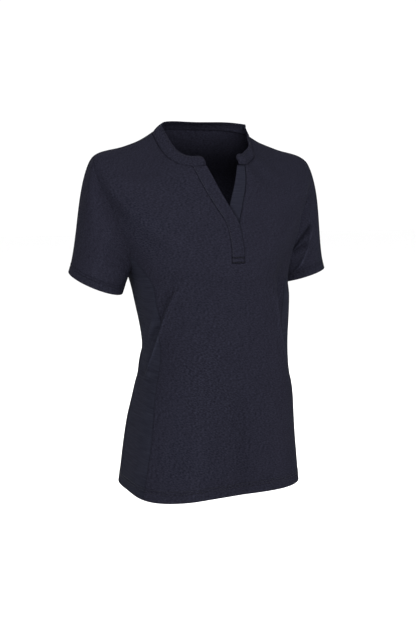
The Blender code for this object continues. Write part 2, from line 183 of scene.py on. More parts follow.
def named(table, columns, level):
    """The columns of a table at the given levels, by name."""
    values = along(table, level)
    return {name: values[..., place] for place, name in enumerate(columns[1:])}


print("rings:", len(RINGS), "from", RINGS[0][0], "to", RINGS[-1][0])

# %% [markdown]
# ## Folds and creases
#
# Cloth that is pulled makes long soft ridges and troughs. They could be painted as
# bumps, but then the outline stays smooth. Here each one is a line across the form
# with a bell-shaped height. These big ones are in the CAD model too, and the fine ones
# that follow are not.

# %% Folds
FOLD_RADIUS = 0.14          # turns an angle into a girth when folds are measured
FOLDS = (                   # from_phi, from_level, to_phi, to_level, half_width, height
    (51.0, -0.290, 56.0, -0.365, 0.031, -0.030),     # hollow in front of the left side
    (-43.0, -0.285, -78.0, -0.420, 0.009, 0.0035),   # drag from the right bust to the waist
    (-47.0, -0.262, -66.0, -0.350, 0.009, -0.0030),
    (-148.0, -0.330, -112.0, -0.410, 0.012, 0.0035),  # its like on the back
    (150.0, -0.340, 112.0, -0.420, 0.012, 0.0035),
    (-100.0, -0.450, -74.0, -0.455, 0.030, 0.0035),  # fullness above the right hip
    (46.0, -0.045, 40.0, -0.075, 0.024, -0.0095),    # hollow beside the band on the left
    (68.0, -0.045, 60.0, -0.075, 0.022, -0.0060),
    (108.0, -0.045, 108.0, -0.060, 0.022, 0.0070),
)
print("folds:", len(FOLDS))

# %% [markdown]
# ### Creases
#
# The fine creases lie where the cloth is pulled: beside the armholes, under the bust
# and at the waist. They run on over the seams, as those of sewn cloth do, and a few
# quiet ones lie behind.

# %% Creases
CREASES = (                 # the same columns, finer
    (-44.0, -0.2800, -55.5, -0.3285, 0.0042, 0.0026),   # right side of the front
    (-55.5, -0.3285, -66.5, -0.3692, 0.0038, 0.0034),
    (-66.5, -0.3692, -76.5, -0.4080, 0.0038, 0.0038),
    (-50.5, -0.2850, -60.5, -0.3285, 0.0075, -0.0022),
    (-71.5, -0.3680, -81.0, -0.4080, 0.0055, -0.0018),
    (-70.0, -0.3368, -77.0, -0.3559, 0.0038, 0.0022),   # right side panel
    (-67.0, -0.3434, -78.0, -0.3700, 0.0038, -0.0024),
    (-72.0, -0.3900, -84.0, -0.4150, 0.0040, 0.0010),
    (-62.6, -0.1395, -35.0, -0.1870, 0.0120, 0.0012),   # from the right armhole
    (-66.0, -0.1650, -44.0, -0.2050, 0.0100, -0.0010),
    (60.0, -0.1500, 38.0, -0.1850, 0.0120, 0.0012),     # from the left armhole
    (56.0, -0.1200, 57.0, -0.1500, 0.0050, 0.0012),     # beside the left armhole
    (57.0, -0.1500, 65.0, -0.1850, 0.0050, 0.0014),
    (64.0, -0.1350, 66.0, -0.1620, 0.0040, -0.0012),
    (32.0, -0.2990, 34.5, -0.3467, 0.0060, 0.0024),     # left side of the front
    (34.5, -0.3467, 44.0, -0.4058, 0.0060, 0.0022),
    (37.5, -0.2900, 40.0, -0.3400, 0.0055, -0.0024),
    (40.0, -0.3400, 49.0, -0.3950, 0.0055, -0.0022),
    (-22.0, -0.2620, 4.0, -0.2720, 0.0160, -0.0012),    # under the bust
    (14.0, -0.2680, 34.0, -0.2560, 0.0140, -0.0012),
    (2.0, -0.4900, 6.0, -0.6200, 0.0220, -0.0020),      # lower front
    (-24.0, -0.5200, -27.0, -0.6300, 0.0180, 0.0014),
    (28.0, -0.5000, 33.0, -0.6100, 0.0160, 0.0012),
    (-176.0, -0.1100, -150.0, -0.1500, 0.0140, 0.0012),  # between the shoulder blades
    (176.0, -0.1250, 152.0, -0.1550, 0.0140, 0.0012),
    (-150.0, -0.2600, -122.0, -0.3150, 0.0070, 0.0016),  # small of the back
    (154.0, -0.2750, 124.0, -0.3350, 0.0070, 0.0016),
    (-165.0, -0.3700, -118.0, -0.3900, 0.0060, -0.0012),
    (162.0, -0.3600, 120.0, -0.3850, 0.0060, -0.0012),
    (-170.0, -0.4900, -166.0, -0.6200, 0.0220, 0.0018),  # lower back
    (166.0, -0.5100, 162.0, -0.6250, 0.0200, -0.0016),
)
print("creases:", len(CREASES))

# %% [markdown]
# ### One surface for the whole body
#
# All bells of a table are worked out at once, in one layer for each row. The folds are
# added up. Of the creases, only the highest and the deepest count at a point, because
# two that meet end to end would otherwise make a knob there.

# %% The form
def bells(table, radius, length, angle, height_up):
    """A layer for each row: height * exp(-(distance from its line / half width) squared).

    Past both ends of the line it fades by the same bell, twice as wide.
    """
    girth = (np.mod(angle + np.pi, 2 * np.pi) - np.pi) * radius
    layers = []
    for from_angle, from_up, to_angle, to_up, half_width, height in table:
        start = np.array((np.radians(from_angle) * radius, from_up * length))
        run = np.array((np.radians(to_angle) * radius, to_up * length)) - start
        line = np.hypot(*run)
        east = girth - start[0]
        north = height_up * length - start[1]
        ahead = (east * run[0] + north * run[1]) / line
        aside = (east * run[1] - north * run[0]) / line
        beyond = np.maximum(np.abs(ahead - line / 2) - line / 2, 0.0)
        faded = (aside / half_width) ** 2 + (beyond / (2 * half_width)) ** 2
        layers.append(height * np.exp(-faded))
    return np.stack(layers)


def creases(layers):
    """The highest ridge plus the deepest trough at each point, so lines that meet don't add up."""
    return np.maximum(layers, 0).max(axis=0) + np.minimum(layers, 0).min(axis=0)


def body_creases(phi, level):
    """The fine creases of the body at an angle and a level."""
    return creases(bells(CREASES, FOLD_RADIUS, 1.0, phi, level))


def form(phi, level):
    """A rounded oval at each level (|sin|^n + |cos|^n = 1, stretched), plus the folds.

    The rim of each oval rises to the sides, and the folds move it straight out.
    """
    phi, level = np.broadcast_arrays(np.asarray(phi, dtype=float), np.asarray(level, dtype=float))
    level = np.clip(level, HEM, NECK)
    ring = named(RINGS, RING_COLUMNS, level)
    across = np.sin(phi)
    ahead = np.cos(phi)
    in_front = ahead >= 0
    square = np.where(in_front, ring["front_square"], ring["back_square"])
    reach = (np.abs(across) ** square + np.abs(ahead) ** square) ** (-1.0 / square)
    x = np.where(across > 0, ring["left"], ring["right"]) * across * reach
    deepest = np.where(in_front, ring["front_y"], ring["back_y"])
    y = ring["side_y"] + (deepest - ring["side_y"]) * np.abs(ahead) * reach
    from_side = np.arcsin(np.clip(np.abs(ahead), 0, 1))
    fall = np.sin(np.minimum(RIM_RISE * from_side, np.pi / 2)) ** ring["drop"]
    middle_z = np.where(in_front, level, ring["back_z"])
    z = ring["side_z"] + (middle_z - ring["side_z"]) * fall
    z = z - np.where(in_front & (across < 0), ring["dip"], 0) * np.sin(2 * from_side) ** 2
    out = bells(FOLDS, FOLD_RADIUS, 1.0, phi, level).sum(axis=0) + body_creases(phi, level)
    return np.stack((x + out * across, y - out * ahead, z), axis=-1)


print("middle of the front at the hem:", form(0.0, HEM).round(4).tolist())

# %% [markdown]
# ## Directions and lengths on a surface
#
# To give cloth a thickness, or to lay a stitch on it, the direction straight out of
# it is needed. It is the cross product of two small steps on the surface. Lengths
# along a grid of points are sums of the distances between neighbours.

# %% Directions and lengths
SMALL_STEP = 1e-4


def unit(vectors):
    """Each vector divided by its own length."""
    return vectors / np.linalg.norm(vectors, axis=-1, keepdims=True)


def facing(surface, a, b):
    """Outward direction: the step along a crossed with the step along b, made length one."""
    along_a = surface(a + SMALL_STEP, b) - surface(a - SMALL_STEP, b)
    along_b = surface(a, b + SMALL_STEP) - surface(a, b - SMALL_STEP)
    return unit(np.cross(along_a, along_b))


def patch(surface, a, b):
    """Points of a surface on a grid, and its outward directions there."""
    return surface(a, b), facing(surface, a, b)


def metres_round(phi, level):
    """Length of the body's surface for one radian of phi."""
    run = form(phi + SMALL_STEP, level) - form(phi - SMALL_STEP, level)
    return np.linalg.norm(run, axis=-1) / (2 * SMALL_STEP)


def run_lengths(points, axis):
    """Distance of each grid point from the first row or column: the running sum of the steps."""
    steps = np.linalg.norm(np.diff(points, axis=axis), axis=-1)
    return np.insert(np.cumsum(steps, axis=axis), 0, 0.0, axis=axis)


def from_ends(lengths):
    """Distance from the nearer end of each row, from the running lengths along the rows."""
    return np.minimum(lengths, lengths[:, -1:] - lengths)


print("one radian at the front of the hem is", round(float(metres_round(0.0, HEM)), 3), "m")

# %% [markdown]
# ## From a grid of points to a wall of cloth
#
# A sheet with no thickness looks like paper at its edges, and its back can't be told
# from its front. The Solidify modifier could thicken it. Here both faces and the rim
# are made at once from two grids, so the edge can be thinned and rolled as well, and
# the map of the cloth, in metres along and across the knit, is kept for the finishes.

# %% Walls of cloth
CLOTH = 0.0012              # thickness of one layer, as shown
SHARP_EDGE = np.radians(60)


def laid_flat(points, tube):
    """Each point's place on the cloth laid flat: along its row from the middle, up its column."""
    if tube:
        points = np.concatenate((points, points[:, :1]), axis=1)
    u = run_lengths(points, 1)
    u = u - u[:, u.shape[1] // 2][:, None]
    v = run_lengths(points, 0)
    return np.stack((u, v), axis=-1)


def cloth_wall(name, outside, inside, shades, finish, tube=False, kept=None):
    """Closed wall of cloth from two grids of points.

    Every kept grid cell is there once outside and once turned round inside, with a rim
    face where its neighbour is missing. A tube's last column is joined to its first.
    """
    rows, columns = outside.shape[:2]
    layer = rows * columns
    flat = laid_flat(outside, tube)
    number = np.arange(layer).reshape(rows, columns)
    if tube:
        number = np.concatenate((number, number[:, :1]), axis=1)
    place = np.arange(flat.shape[0] * flat.shape[1]).reshape(flat.shape[:2])
    low, high = slice(None, -1), slice(1, None)
    picks = ((low, low), (low, high), (high, high), (high, low))
    cell = np.stack([number[pick] for pick in picks], axis=-1)
    map_cell = np.stack([place[pick] for pick in picks], axis=-1)
    if kept is None:
        kept = np.ones(cell.shape[:2], dtype=bool)
    around = np.pad(kept, 1)
    if tube:
        around[:, 0] = around[:, -2]
        around[:, -1] = around[:, 1]
    neighbours = (around[:-2, 1:-1], around[1:-1, 2:], around[2:, 1:-1], around[1:-1, :-2])
    faces = [cell[kept], cell[kept][:, ::-1] + layer]
    maps = [map_cell[kept], map_cell[kept][:, ::-1]]
    for side, neighbour in enumerate(neighbours):
        bare = kept & ~neighbour
        first, second = cell[bare][:, side], cell[bare][:, (side + 1) % 4]
        faces.append(np.stack((second, first, first + layer, second + layer), axis=-1))
        first, second = map_cell[bare][:, side], map_cell[bare][:, (side + 1) % 4]
        maps.append(np.stack((second, first, first, second), axis=-1))
    maps = np.concatenate(maps)
    used, faces = np.unique(np.concatenate(faces), return_inverse=True)
    points = np.concatenate((outside.reshape(-1, 3), inside.reshape(-1, 3)))[used]
    mesh = bpy.data.meshes.new(name)
    mesh.from_pydata(points.tolist(), [], faces.reshape(-1, 4).tolist())
    mesh.uv_layers.new(name="cloth").data.foreach_set("uv", flat.reshape(-1, 2)[maps].ravel())
    shade = np.concatenate([face_shade.ravel() for face_shade in shades])[used]
    kept_shade = mesh.attributes.new("shade", "FLOAT", "POINT")
    kept_shade.data.foreach_set("value", shade.astype(np.float32))
    mesh.materials.append(finish)
    mesh.shade_smooth()
    mesh.set_sharp_from_angle(angle=SHARP_EDGE)
    print(name, len(mesh.polygons), "faces")
    return added(name, mesh)


# %% [markdown]
# ## Seams, edges and hems
#
# Where two pieces are sewn together, both turn in for a millimetre or so and meet in
# a small valley. A free edge is thinner and round. A hem is the cloth turned up once
# inside and held by two rows of stitches, which press two fine grooves into it. All
# three depend only on the distance from the edge, so each is a short function of it.

# %% Seams, edges and hems
SEAM_ROLL = 0.0008          # how far the cloth turns in at a seam
SEAM_REACH = 0.0026         # how far from the seam that starts
SEAM_OVERLAP = 0.00012      # the two edges press into each other a little
HEM_TURN = 0.0200           # height of the hem's upper row of stitches
HEM_ROWS = 0.0045           # distance between the two rows
HEM_THICK = 0.00035         # the turned-up layer pushes the cloth out,
HEM_OVER = 0.0010           # up to this far above the upper row,
HEM_SLOPE = 0.0015          # and in full this far below that
GROOVE = 0.00040            # depth and half width of the groove that a row of stitches presses
GROOVE_HALF = 0.0009
FREE_ROUND = 0.0007         # radius of a free edge
THINNEST = 0.97             # share of that radius past which the edge gets no thinner
print("seam valley", SEAM_ROLL * 1000, "mm deep, hem", HEM_TURN * 1000, "mm")

# %% [markdown]
# ### Rolls, grooves and round edges
#
# Each is a height, or a share of the thickness, over the distance from an edge. It is
# worked out for all points of a piece at once.

# %% Rolls, grooves and round edges
def sewn(distance):
    """Inward roll at a seam: roll * (1 - distance / reach) squared, and nothing past the reach."""
    return -SEAM_ROLL * np.clip(1 - distance / SEAM_REACH, 0, 1) ** 2


def groove(distance):
    """Depth of the groove along a row of stitches: a bell of the distance from it."""
    return GROOVE * np.exp(-(distance / GROOVE_HALF) ** 2)


def hemmed(distance, turn=HEM_TURN):
    """Outward step of a turned-up hem, with a groove along each of its two rows of stitches."""
    step = HEM_THICK * np.clip((turn + HEM_OVER - distance) / HEM_SLOPE, 0, 1)
    return step - groove(distance - turn) - groove(distance - (turn - HEM_ROWS))


def rounded(distance, radius=FREE_ROUND):
    """Share of the full thickness near a free edge: the height of a quarter circle over it."""
    return np.sqrt(1 - np.clip(1 - distance / radius, 0, THINNEST) ** 2)


def between_faces(points, normal, lift, thin=1.0, cloth=CLOTH):
    """Outer face: the surface lifted along its normal. Inner face: that moved in by the cloth."""
    middle = points + (lift - cloth / 2)[..., None] * normal
    half = (cloth / 2 * thin * np.ones(points.shape[:-1]))[..., None] * normal
    return middle + half, middle - half


def spread_out(count, near=(0.0, 0.0006, 0.0013, 0.0021, 0.0032, 0.0050), span=0.22):
    """Shares from 0 to 1: near both ends the near distances over the span, then even steps."""
    ends = np.array(near) / span
    middle = np.linspace(ends[-1], 1 - ends[-1], count)
    return np.concatenate((ends[:-1], middle, 1 - ends[-2::-1]))


print("full thickness", FREE_ROUND * 1000, "mm from a free edge:", rounded(FREE_ROUND))

# %% [markdown]
# ### Painted shade and highlight kept on the cloth
#
# Soft light from all sides hardly darkens a fine valley, but seams and rows of stitches
# read as dark lines on the real shirt. So their shade is painted. It could be painted by
# hand, but here it is worked out from the same distances as the shape, and kept as one
# value on each point of the mesh. The same value holds painted shade in the troughs of
# creases and inside behind the neck. Where it is below zero, a painted highlight makes
# the finish lighter on the ridges.

# %% Painted shade and highlight kept on the cloth
SEAM_DARK = 0.22            # share of the colour that is lost in the middle of a seam
SHADE_REACH = 0.0017        # and how far from the seam that goes
ROW_DARK = 0.30             # the same along a row of stitches
ROW_REACH = 0.0011
# Creases: a painted highlight on each ridge and painted shade in each trough.
CREASE_PAINTED_HIGHLIGHT = 0.95         # share of the colour that a high ridge gains, and a deep trough loses,
CREASE_PAINTED_SHADE = 0.50          # when it is as high or deep as
CREASE_DEEP = 0.0045        # this
INSIDE_SEAM = 2.2           # how much more painted shade the neck seam has on the inside
INSIDE_DARK = 0.66          # share of the colour that is lost to painted shade inside, behind the neck
INSIDE_TOP = 0.012          # height at which the inside begins to darken,
INSIDE_FADE = 0.050         # and how far below that it is at its darkest
INSIDE_END = -0.120         # height at which it is its own colour again


def seam_line(distance):
    """Painted shade at a seam: a bell of the distance from it."""
    return SEAM_DARK * np.exp(-(distance / SHADE_REACH) ** 2)


def row_line(distance):
    """Painted shade along a row of stitches: a narrower bell of the distance from it."""
    return ROW_DARK * np.exp(-(distance / ROW_REACH) ** 2)


def hem_lines(distance, turn):
    """Painted shade along the two rows of a hem: the greater of their bells."""
    return np.maximum(row_line(distance - turn), row_line(distance - turn + HEM_ROWS))


def painted_crease_shading(out):
    """Painted shade in a trough, and a painted highlight (less than no darkness) on a ridge, both
    by the square of the height.
    """
    share = np.clip(out / CREASE_DEEP, -1, 1)
    return np.where(share < 0, CREASE_PAINTED_SHADE, -CREASE_PAINTED_HIGHLIGHT) * share**2


def painted_inside_shade(points):
    """Painted shade inside, behind the neck: a straight rise below its top, and a straight fall to
    its end.
    """
    below = np.clip((INSIDE_TOP - points[..., 2]) / INSIDE_FADE, 0, 1)
    above = np.clip((points[..., 2] - INSIDE_END) / INSIDE_FADE, 0, 1)
    return INSIDE_DARK * below * above


print("a seam keeps", 1 - SEAM_DARK, "of its colour")

# %% [markdown]
# ## Knitted finishes
#
# The shirt is of two jerseys. The heather one mixes navy and charcoal yarns, so its
# colour breaks up into short slanting flecks. The other, on the side panels and the
# under strip, is a smoother slate navy with uneven streaks across. A flat colour would
# look like plastic, and a picture of cloth is not needed: noise that is stretched and
# turned on the map of the cloth gives flecks and streaks, and sine waves give the rows
# of knitted loops. Each effect is a node group that both finishes place with their own
# values.

# %% Small helpers for node trees
VECTOR = "NodeSocketVector"
NUMBER = "NodeSocketFloat"
NOISE_ROUGHNESS = 0.5


def group_tree(name, inputs, output):
    """A shader node group with named inputs and one float output, and its two end nodes."""
    tree = bpy.data.node_groups.new(name, "ShaderNodeTree")
    for label, kind in inputs:
        tree.interface.new_socket(label, in_out="INPUT", socket_type=kind)
    tree.interface.new_socket(output, in_out="OUTPUT", socket_type=NUMBER)
    return tree, tree.nodes.new("NodeGroupInput"), tree.nodes.new("NodeGroupOutput")


def maths(tree, operation, *values, clamp=False):
    """A Math node on one to three values, each a number or a socket."""
    node = tree.nodes.new("ShaderNodeMath")
    node.operation = operation
    node.use_clamp = clamp
    for socket, value in zip(node.inputs, values):
        if isinstance(value, (int, float)):
            socket.default_value = value
        else:
            tree.links.new(value, socket)
    return node.outputs[0]


def stretched_noise(tree, coordinates, along_u, along_v, detail):
    """Noise whose grains are along_u long and along_v high, both sockets or numbers in metres."""
    parts = tree.nodes.new("ShaderNodeSeparateXYZ")
    tree.links.new(coordinates, parts.inputs[0])
    joined = tree.nodes.new("ShaderNodeCombineXYZ")
    tree.links.new(maths(tree, "DIVIDE", parts.outputs["X"], along_u), joined.inputs["X"])
    tree.links.new(maths(tree, "DIVIDE", parts.outputs["Y"], along_v), joined.inputs["Y"])
    noise = tree.nodes.new("ShaderNodeTexNoise")
    noise.inputs["Scale"].default_value = 1.0
    noise.inputs["Detail"].default_value = detail
    noise.inputs["Roughness"].default_value = NOISE_ROUGHNESS
    tree.links.new(joined.outputs[0], noise.inputs["Vector"])
    return noise.outputs["Fac"]


# %% Flecks of the heather yarns
FLECK_CONTRAST = (4.0, -1.5)        # the noise times the first, plus the second

fleck_inputs = (("Cloth", VECTOR), ("Length", NUMBER), ("Width", NUMBER), ("Slant", NUMBER))
flecks, flecks_in, flecks_out = group_tree("yarn_flecks", fleck_inputs, "Fleck")
turned = flecks.nodes.new("ShaderNodeVectorRotate")
turned.rotation_type = "Z_AXIS"
flecks.links.new(flecks_in.outputs["Cloth"], turned.inputs["Vector"])
flecks.links.new(flecks_in.outputs["Slant"], turned.inputs["Angle"])
grain = stretched_noise(flecks, turned.outputs[0],
                        flecks_in.outputs["Length"], flecks_in.outputs["Width"], 1.0)
flecks.links.new(maths(flecks, "MULTIPLY_ADD", grain, *FLECK_CONTRAST, clamp=True),
                 flecks_out.inputs["Fleck"])
print(flecks.name, "has", len(flecks.nodes), "nodes")

# %% Rows of knitted loops
LEG_SHARE = 0.25            # how much of a loop's height its slanting legs have

loops, loops_in, loops_out = group_tree(
    "knit_loops", (("Cloth", VECTOR), ("Wale", NUMBER), ("Course", NUMBER)), "Height")
loop_parts = loops.nodes.new("ShaderNodeSeparateXYZ")
loops.links.new(loops_in.outputs["Cloth"], loop_parts.inputs[0])
across_loop = maths(loops, "PINGPONG",
                    maths(loops, "DIVIDE", loop_parts.outputs["X"], loops_in.outputs["Wale"]), 0.5)
up_loop = maths(loops, "DIVIDE", loop_parts.outputs["Y"], loops_in.outputs["Course"])
leg_turn = maths(loops, "MULTIPLY", maths(loops, "ADD", up_loop, across_loop), 2 * np.pi)
leg = maths(loops, "SINE", leg_turn)
ridge = maths(loops, "SINE", maths(loops, "MULTIPLY", across_loop, 2 * np.pi))
loops.links.new(maths(loops, "ADD", maths(loops, "MULTIPLY", leg, LEG_SHARE), ridge),
                loops_out.inputs["Height"])
print(loops.name, "has", len(loops.nodes), "nodes")

# %% Streaks of the slub yarn
STREAK_CONTRAST = (3.0, -1.0)

streaks, streaks_in, streaks_out = group_tree(
    "slub_streaks", (("Cloth", VECTOR), ("Length", NUMBER), ("Width", NUMBER)), "Streak")
long_streak = stretched_noise(streaks, streaks_in.outputs["Cloth"],
                              streaks_in.outputs["Length"], streaks_in.outputs["Width"], 1.5)
streaks.links.new(maths(streaks, "MULTIPLY_ADD", long_streak, *STREAK_CONTRAST, clamp=True),
                  streaks_out.inputs["Streak"])
print("node groups:", [tree.name for tree in bpy.data.node_groups])

# %% [markdown]
# ### From groups to a finish
#
# Both jerseys are put together in one way: groups are placed on the cloth's map with
# their own values, colours are mixed by what they give, and the painted shade and
# highlight kept on the mesh darken or lighten the result. The shader stays in each
# material, and whatever is the same all over is set on its own sockets.

# %% Helpers for finishes
BLACK = (0.0, 0.0, 0.0, 1.0)
BUMP_STRENGTH = 0.6


def placed(tree, group, coordinates, **values):
    """A copy of a node group on the given coordinates, with its own values."""
    node = tree.nodes.new("ShaderNodeGroup")
    node.node_tree = group
    tree.links.new(coordinates, node.inputs["Cloth"])
    for label, value in values.items():
        node.inputs[label].default_value = value
    return node.outputs[0]


def mixed(tree, share, first, second, clamp=True):
    """A colour Mix node: share, and two colours that are values or sockets."""
    node = tree.nodes.new("ShaderNodeMix")
    node.data_type = "RGBA"
    node.clamp_factor = clamp
    if isinstance(share, (int, float)):
        node.inputs["Factor"].default_value = share
    else:
        tree.links.new(share, node.inputs["Factor"])
    for label, value in (("A", first), ("B", second)):
        socket = [s for s in node.inputs if s.name == label and s.type == "RGBA"][0]
        if isinstance(value, tuple):
            socket.default_value = value
        else:
            tree.links.new(value, socket)
    return [s for s in node.outputs if s.type == "RGBA"][0]


def cloth_finish(name, roughness, specular):
    """A material with the cloth's map ready, and its shader's plain values set."""
    material = bpy.data.materials.new(name)
    material.use_nodes = True
    tree = material.node_tree
    shader = tree.nodes["Principled BSDF"]
    shader.inputs["Roughness"].default_value = roughness
    shader.inputs["Specular IOR Level"].default_value = specular
    mapped = tree.nodes.new("ShaderNodeUVMap")
    mapped.uv_map = "cloth"
    return material, tree, shader, mapped.outputs[0]


def finish_cloth(tree, shader, colour, height, distance):
    """Darken the colour by the painted shade kept on the cloth, lighten it by a painted highlight
    where that is below zero, and join it and the bump to the shader.
    """
    shade = tree.nodes.new("ShaderNodeAttribute")
    shade.attribute_name = "shade"
    dark = mixed(tree, shade.outputs["Fac"], colour, BLACK, clamp=False)
    tree.links.new(dark, shader.inputs["Base Color"])
    bump = tree.nodes.new("ShaderNodeBump")
    bump.inputs["Strength"].default_value = BUMP_STRENGTH
    bump.inputs["Distance"].default_value = distance
    tree.links.new(height, bump.inputs["Height"])
    tree.links.new(bump.outputs[0], shader.inputs["Normal"])


print("every finish has a bump of strength", BUMP_STRENGTH)

# %% [markdown]
# ### Heather jersey
#
# Two layers of flecks, slanting by different angles, choose between a navy, a charcoal
# and a lighter yarn. Broad soft blotches keep large areas from looking even. Seams,
# where the cloth turns in, and troughs get painted shade, and ridges a painted
# highlight: that value is kept on the mesh, so it stays on the cloth from every side.
# Knit is dull, so the shader is rough and mirrors very little.

# %% Heather jersey
HEATHER_NAVY = (0.0042, 0.0042, 0.0070, 1.0)
HEATHER_CHARCOAL = (0.0078, 0.0078, 0.0123, 1.0)
HEATHER_LIGHT = (0.0150, 0.0154, 0.0242, 1.0)
LIGHT_SHARE = 0.55          # how strongly the lighter yarn shows where both layers have a fleck
BLOTCH_SIZE = (0.045, 0.035)
BLOTCH_DARK = 0.16
WALE = 0.0009               # width of one column of loops
COURSE = 0.0007             # height of one row of loops
FLECK_HEIGHT = 0.8          # height of a fleck, when a loop's is one
HEATHER_RELIEF = 0.00018    # metres for a height of one

heather, tree, shader, cloth_map = cloth_finish("heather_jersey", roughness=0.95, specular=0.01)
slanting = placed(tree, flecks, cloth_map, Length=0.0045, Width=0.0014, Slant=0.35)
level_flecks = placed(tree, flecks, cloth_map, Length=0.0040, Width=0.0013, Slant=0.05)
yarn = mixed(tree, slanting, HEATHER_NAVY, HEATHER_CHARCOAL)
both_flecks = maths(tree, "MULTIPLY", slanting, level_flecks)
yarn = mixed(tree, maths(tree, "MULTIPLY", both_flecks, LIGHT_SHARE), yarn, HEATHER_LIGHT)
blotch = stretched_noise(tree, cloth_map, *BLOTCH_SIZE, 2.0)
yarn = mixed(tree, maths(tree, "MULTIPLY", blotch, BLOTCH_DARK), yarn, BLACK)
heather_height = maths(tree, "ADD", placed(tree, loops, cloth_map, Wale=WALE, Course=COURSE),
                       maths(tree, "MULTIPLY", level_flecks, FLECK_HEIGHT))
finish_cloth(tree, shader, yarn, heather_height, HEATHER_RELIEF)
print(heather.name, "has", len(tree.nodes), "nodes")

# %% [markdown]
# ### Slub jersey
#
# Thick and thin places in the yarn make long level streaks that come and go. Two
# layers of stretched noise, one fine and one broad, mix a slate and a navy yarn.

# %% Slub jersey
SLUB_NAVY = (0.0038, 0.0040, 0.0068, 1.0)
SLUB_SLATE = (0.0108, 0.0115, 0.0172, 1.0)
FINE_SHARE = 0.55           # how strongly each layer of streaks shows
BROAD_SHARE = 0.30
SLUB_RELIEF = 0.00014

slub, tree, shader, cloth_map = cloth_finish("slub_jersey", roughness=0.90, specular=0.01)
fine_streaks = placed(tree, streaks, cloth_map, Length=0.030, Width=0.0009)
broad_streaks = placed(tree, streaks, cloth_map, Length=0.055, Width=0.0032)
slate_share = maths(tree, "ADD", maths(tree, "MULTIPLY", fine_streaks, FINE_SHARE),
                    maths(tree, "MULTIPLY", broad_streaks, BROAD_SHARE))
slub_height = maths(tree, "ADD", placed(tree, loops, cloth_map, Wale=WALE, Course=COURSE),
                    fine_streaks)
finish_cloth(tree, shader, mixed(tree, slate_share, SLUB_NAVY, SLUB_SLATE), slub_height,
             SLUB_RELIEF)
print(slub.name, "has", len(tree.nodes), "nodes")

# %% [markdown]
# ### Sewing thread
#
# The thread is darker than the darkest yarn: its colour is partly its own dark navy and
# partly painted shade of the sunken stitches, so the rows read as fine dark lines, and
# it is smoother than the cloth. Fine noise stands for its twist.

# %% Sewing thread
THREAD_DARK = (0.0022, 0.0023, 0.0042, 1.0)
THREAD_LIGHT = (0.0045, 0.0047, 0.0078, 1.0)
TWIST = 0.0004              # size of the noise's grains

thread = bpy.data.materials.new("sewing_thread")
thread.use_nodes = True
tree = thread.node_tree
shader = tree.nodes["Principled BSDF"]
shader.inputs["Roughness"].default_value = 0.6
shader.inputs["Specular IOR Level"].default_value = 0.2
where = tree.nodes.new("ShaderNodeTexCoord")
twist = stretched_noise(tree, where.outputs["Object"], TWIST, TWIST, 1.0)
tree.links.new(mixed(tree, twist, THREAD_DARK, THREAD_LIGHT), shader.inputs["Base Color"])
print("finishes:", [material.name for material in bpy.data.materials])

# %% [markdown]
# ## Where the pieces meet
#
# The armhole is an oval in angle and level round each side of the body. Below it the
# side panel is let in between the front and the back. Every piece takes its edges from
# these few lines, so neighbours always meet.

# %% Armholes and side seams
ARMHOLE_FRONT = np.radians(17.0)
ARMHOLE_BACK = np.radians(20.0)
PANEL_TURN = np.pi * 11 / 16        # where on the armhole the side seams meet it

SEAM_COLUMNS = ("level", "front_phi", "back_phi")


def armhole(turn):
    """Angle and level on the armhole's oval: up by the turn's cosine, forward by its sine."""
    level = UNDERARM + (SHOULDER_TIP - UNDERARM) * (1 + np.cos(turn)) / 2
    opened = np.where(np.sin(turn) > 0, ARMHOLE_FRONT, ARMHOLE_BACK)
    return np.pi / 2 - opened * np.sin(turn), level


PANEL_TOP = float(armhole(PANEL_TURN)[1])
SIDE_SEAMS = (
    (HEM, 59.5, 104.0),
    (-0.540, 57.0, 104.0),
    (-0.410, 64.0, 106.0),
    (-0.310, 61.5, 106.0),
    (-0.240, 65.0, 104.0),
    (PANEL_TOP, 75.9, 106.6),
)


def side_edge(level, column, opened):
    """Edge of the front or back: the side seam, the armhole's oval, then the shoulder seam."""
    seam = np.radians(named(SIDE_SEAMS, SEAM_COLUMNS, level)[column])
    height = 2 * (level - UNDERARM) / (SHOULDER_TIP - UNDERARM) - 1
    upper = np.pi / 2 + opened * np.sqrt(np.clip(1 - height**2, 0, 1))
    return np.where(level < PANEL_TOP, seam, np.where(level < SHOULDER_TIP, upper, np.pi / 2))


print("the side panels end", round(-PANEL_TOP, 4), "m below the neck")

# %% [markdown]
# ### Cloth beside the armhole
#
# A sleeve's seam lies flatter than the others, because the cap is eased into it. So the
# cloth is filled out a little on both sides of it, and the seam's roll and painted shade
# are less there.

# %% Cloth beside the armhole
ARMHOLE_REACH = 0.014       # how far from the armhole the cloth is filled out,
ARMHOLE_FILL = 0.0022       # and by how much at the seam, which keeps its valley shallow
ARMHOLE_SAMPLES = 241       # points along the seam from which distances are taken


def beside_armhole(points, side):
    """Share squared, from 1 on the armhole to 0 at its reach, times |sine| of the seam's turn."""
    turn = np.linspace(0, 2 * np.pi, ARMHOLE_SAMPLES)
    phi, level = armhole(turn)
    seam = form(side * phi, level)
    nearest = np.full(points.shape[:-1], np.inf)
    amount = np.zeros(points.shape[:-1])
    for place, strength in zip(seam, np.abs(np.sin(turn))):
        distance = np.linalg.norm(points - place, axis=-1)
        amount = np.where(distance < nearest, strength, amount)
        nearest = np.minimum(distance, nearest)
    return amount * np.clip(1 - nearest / ARMHOLE_REACH, 0, 1) ** 2


def sewn_faces(points, normal, from_seam, up, sides, turn=HEM_TURN):
    """Both faces of a piece that is sewn and hemmed, and the painted shade of its seams and rows.

    Near the armholes of the given sides the roll gives way to the fill.
    """
    beside = sum(beside_armhole(points, side) for side in sides)
    lift = sewn(from_seam) * (1 - beside) + ARMHOLE_FILL * beside + hemmed(up, turn)
    outside, inside = between_faces(points, normal, lift, rounded(up))
    shade = np.maximum(seam_line(from_seam) * (1 - beside / 2), hem_lines(up, turn))
    return outside, inside, shade


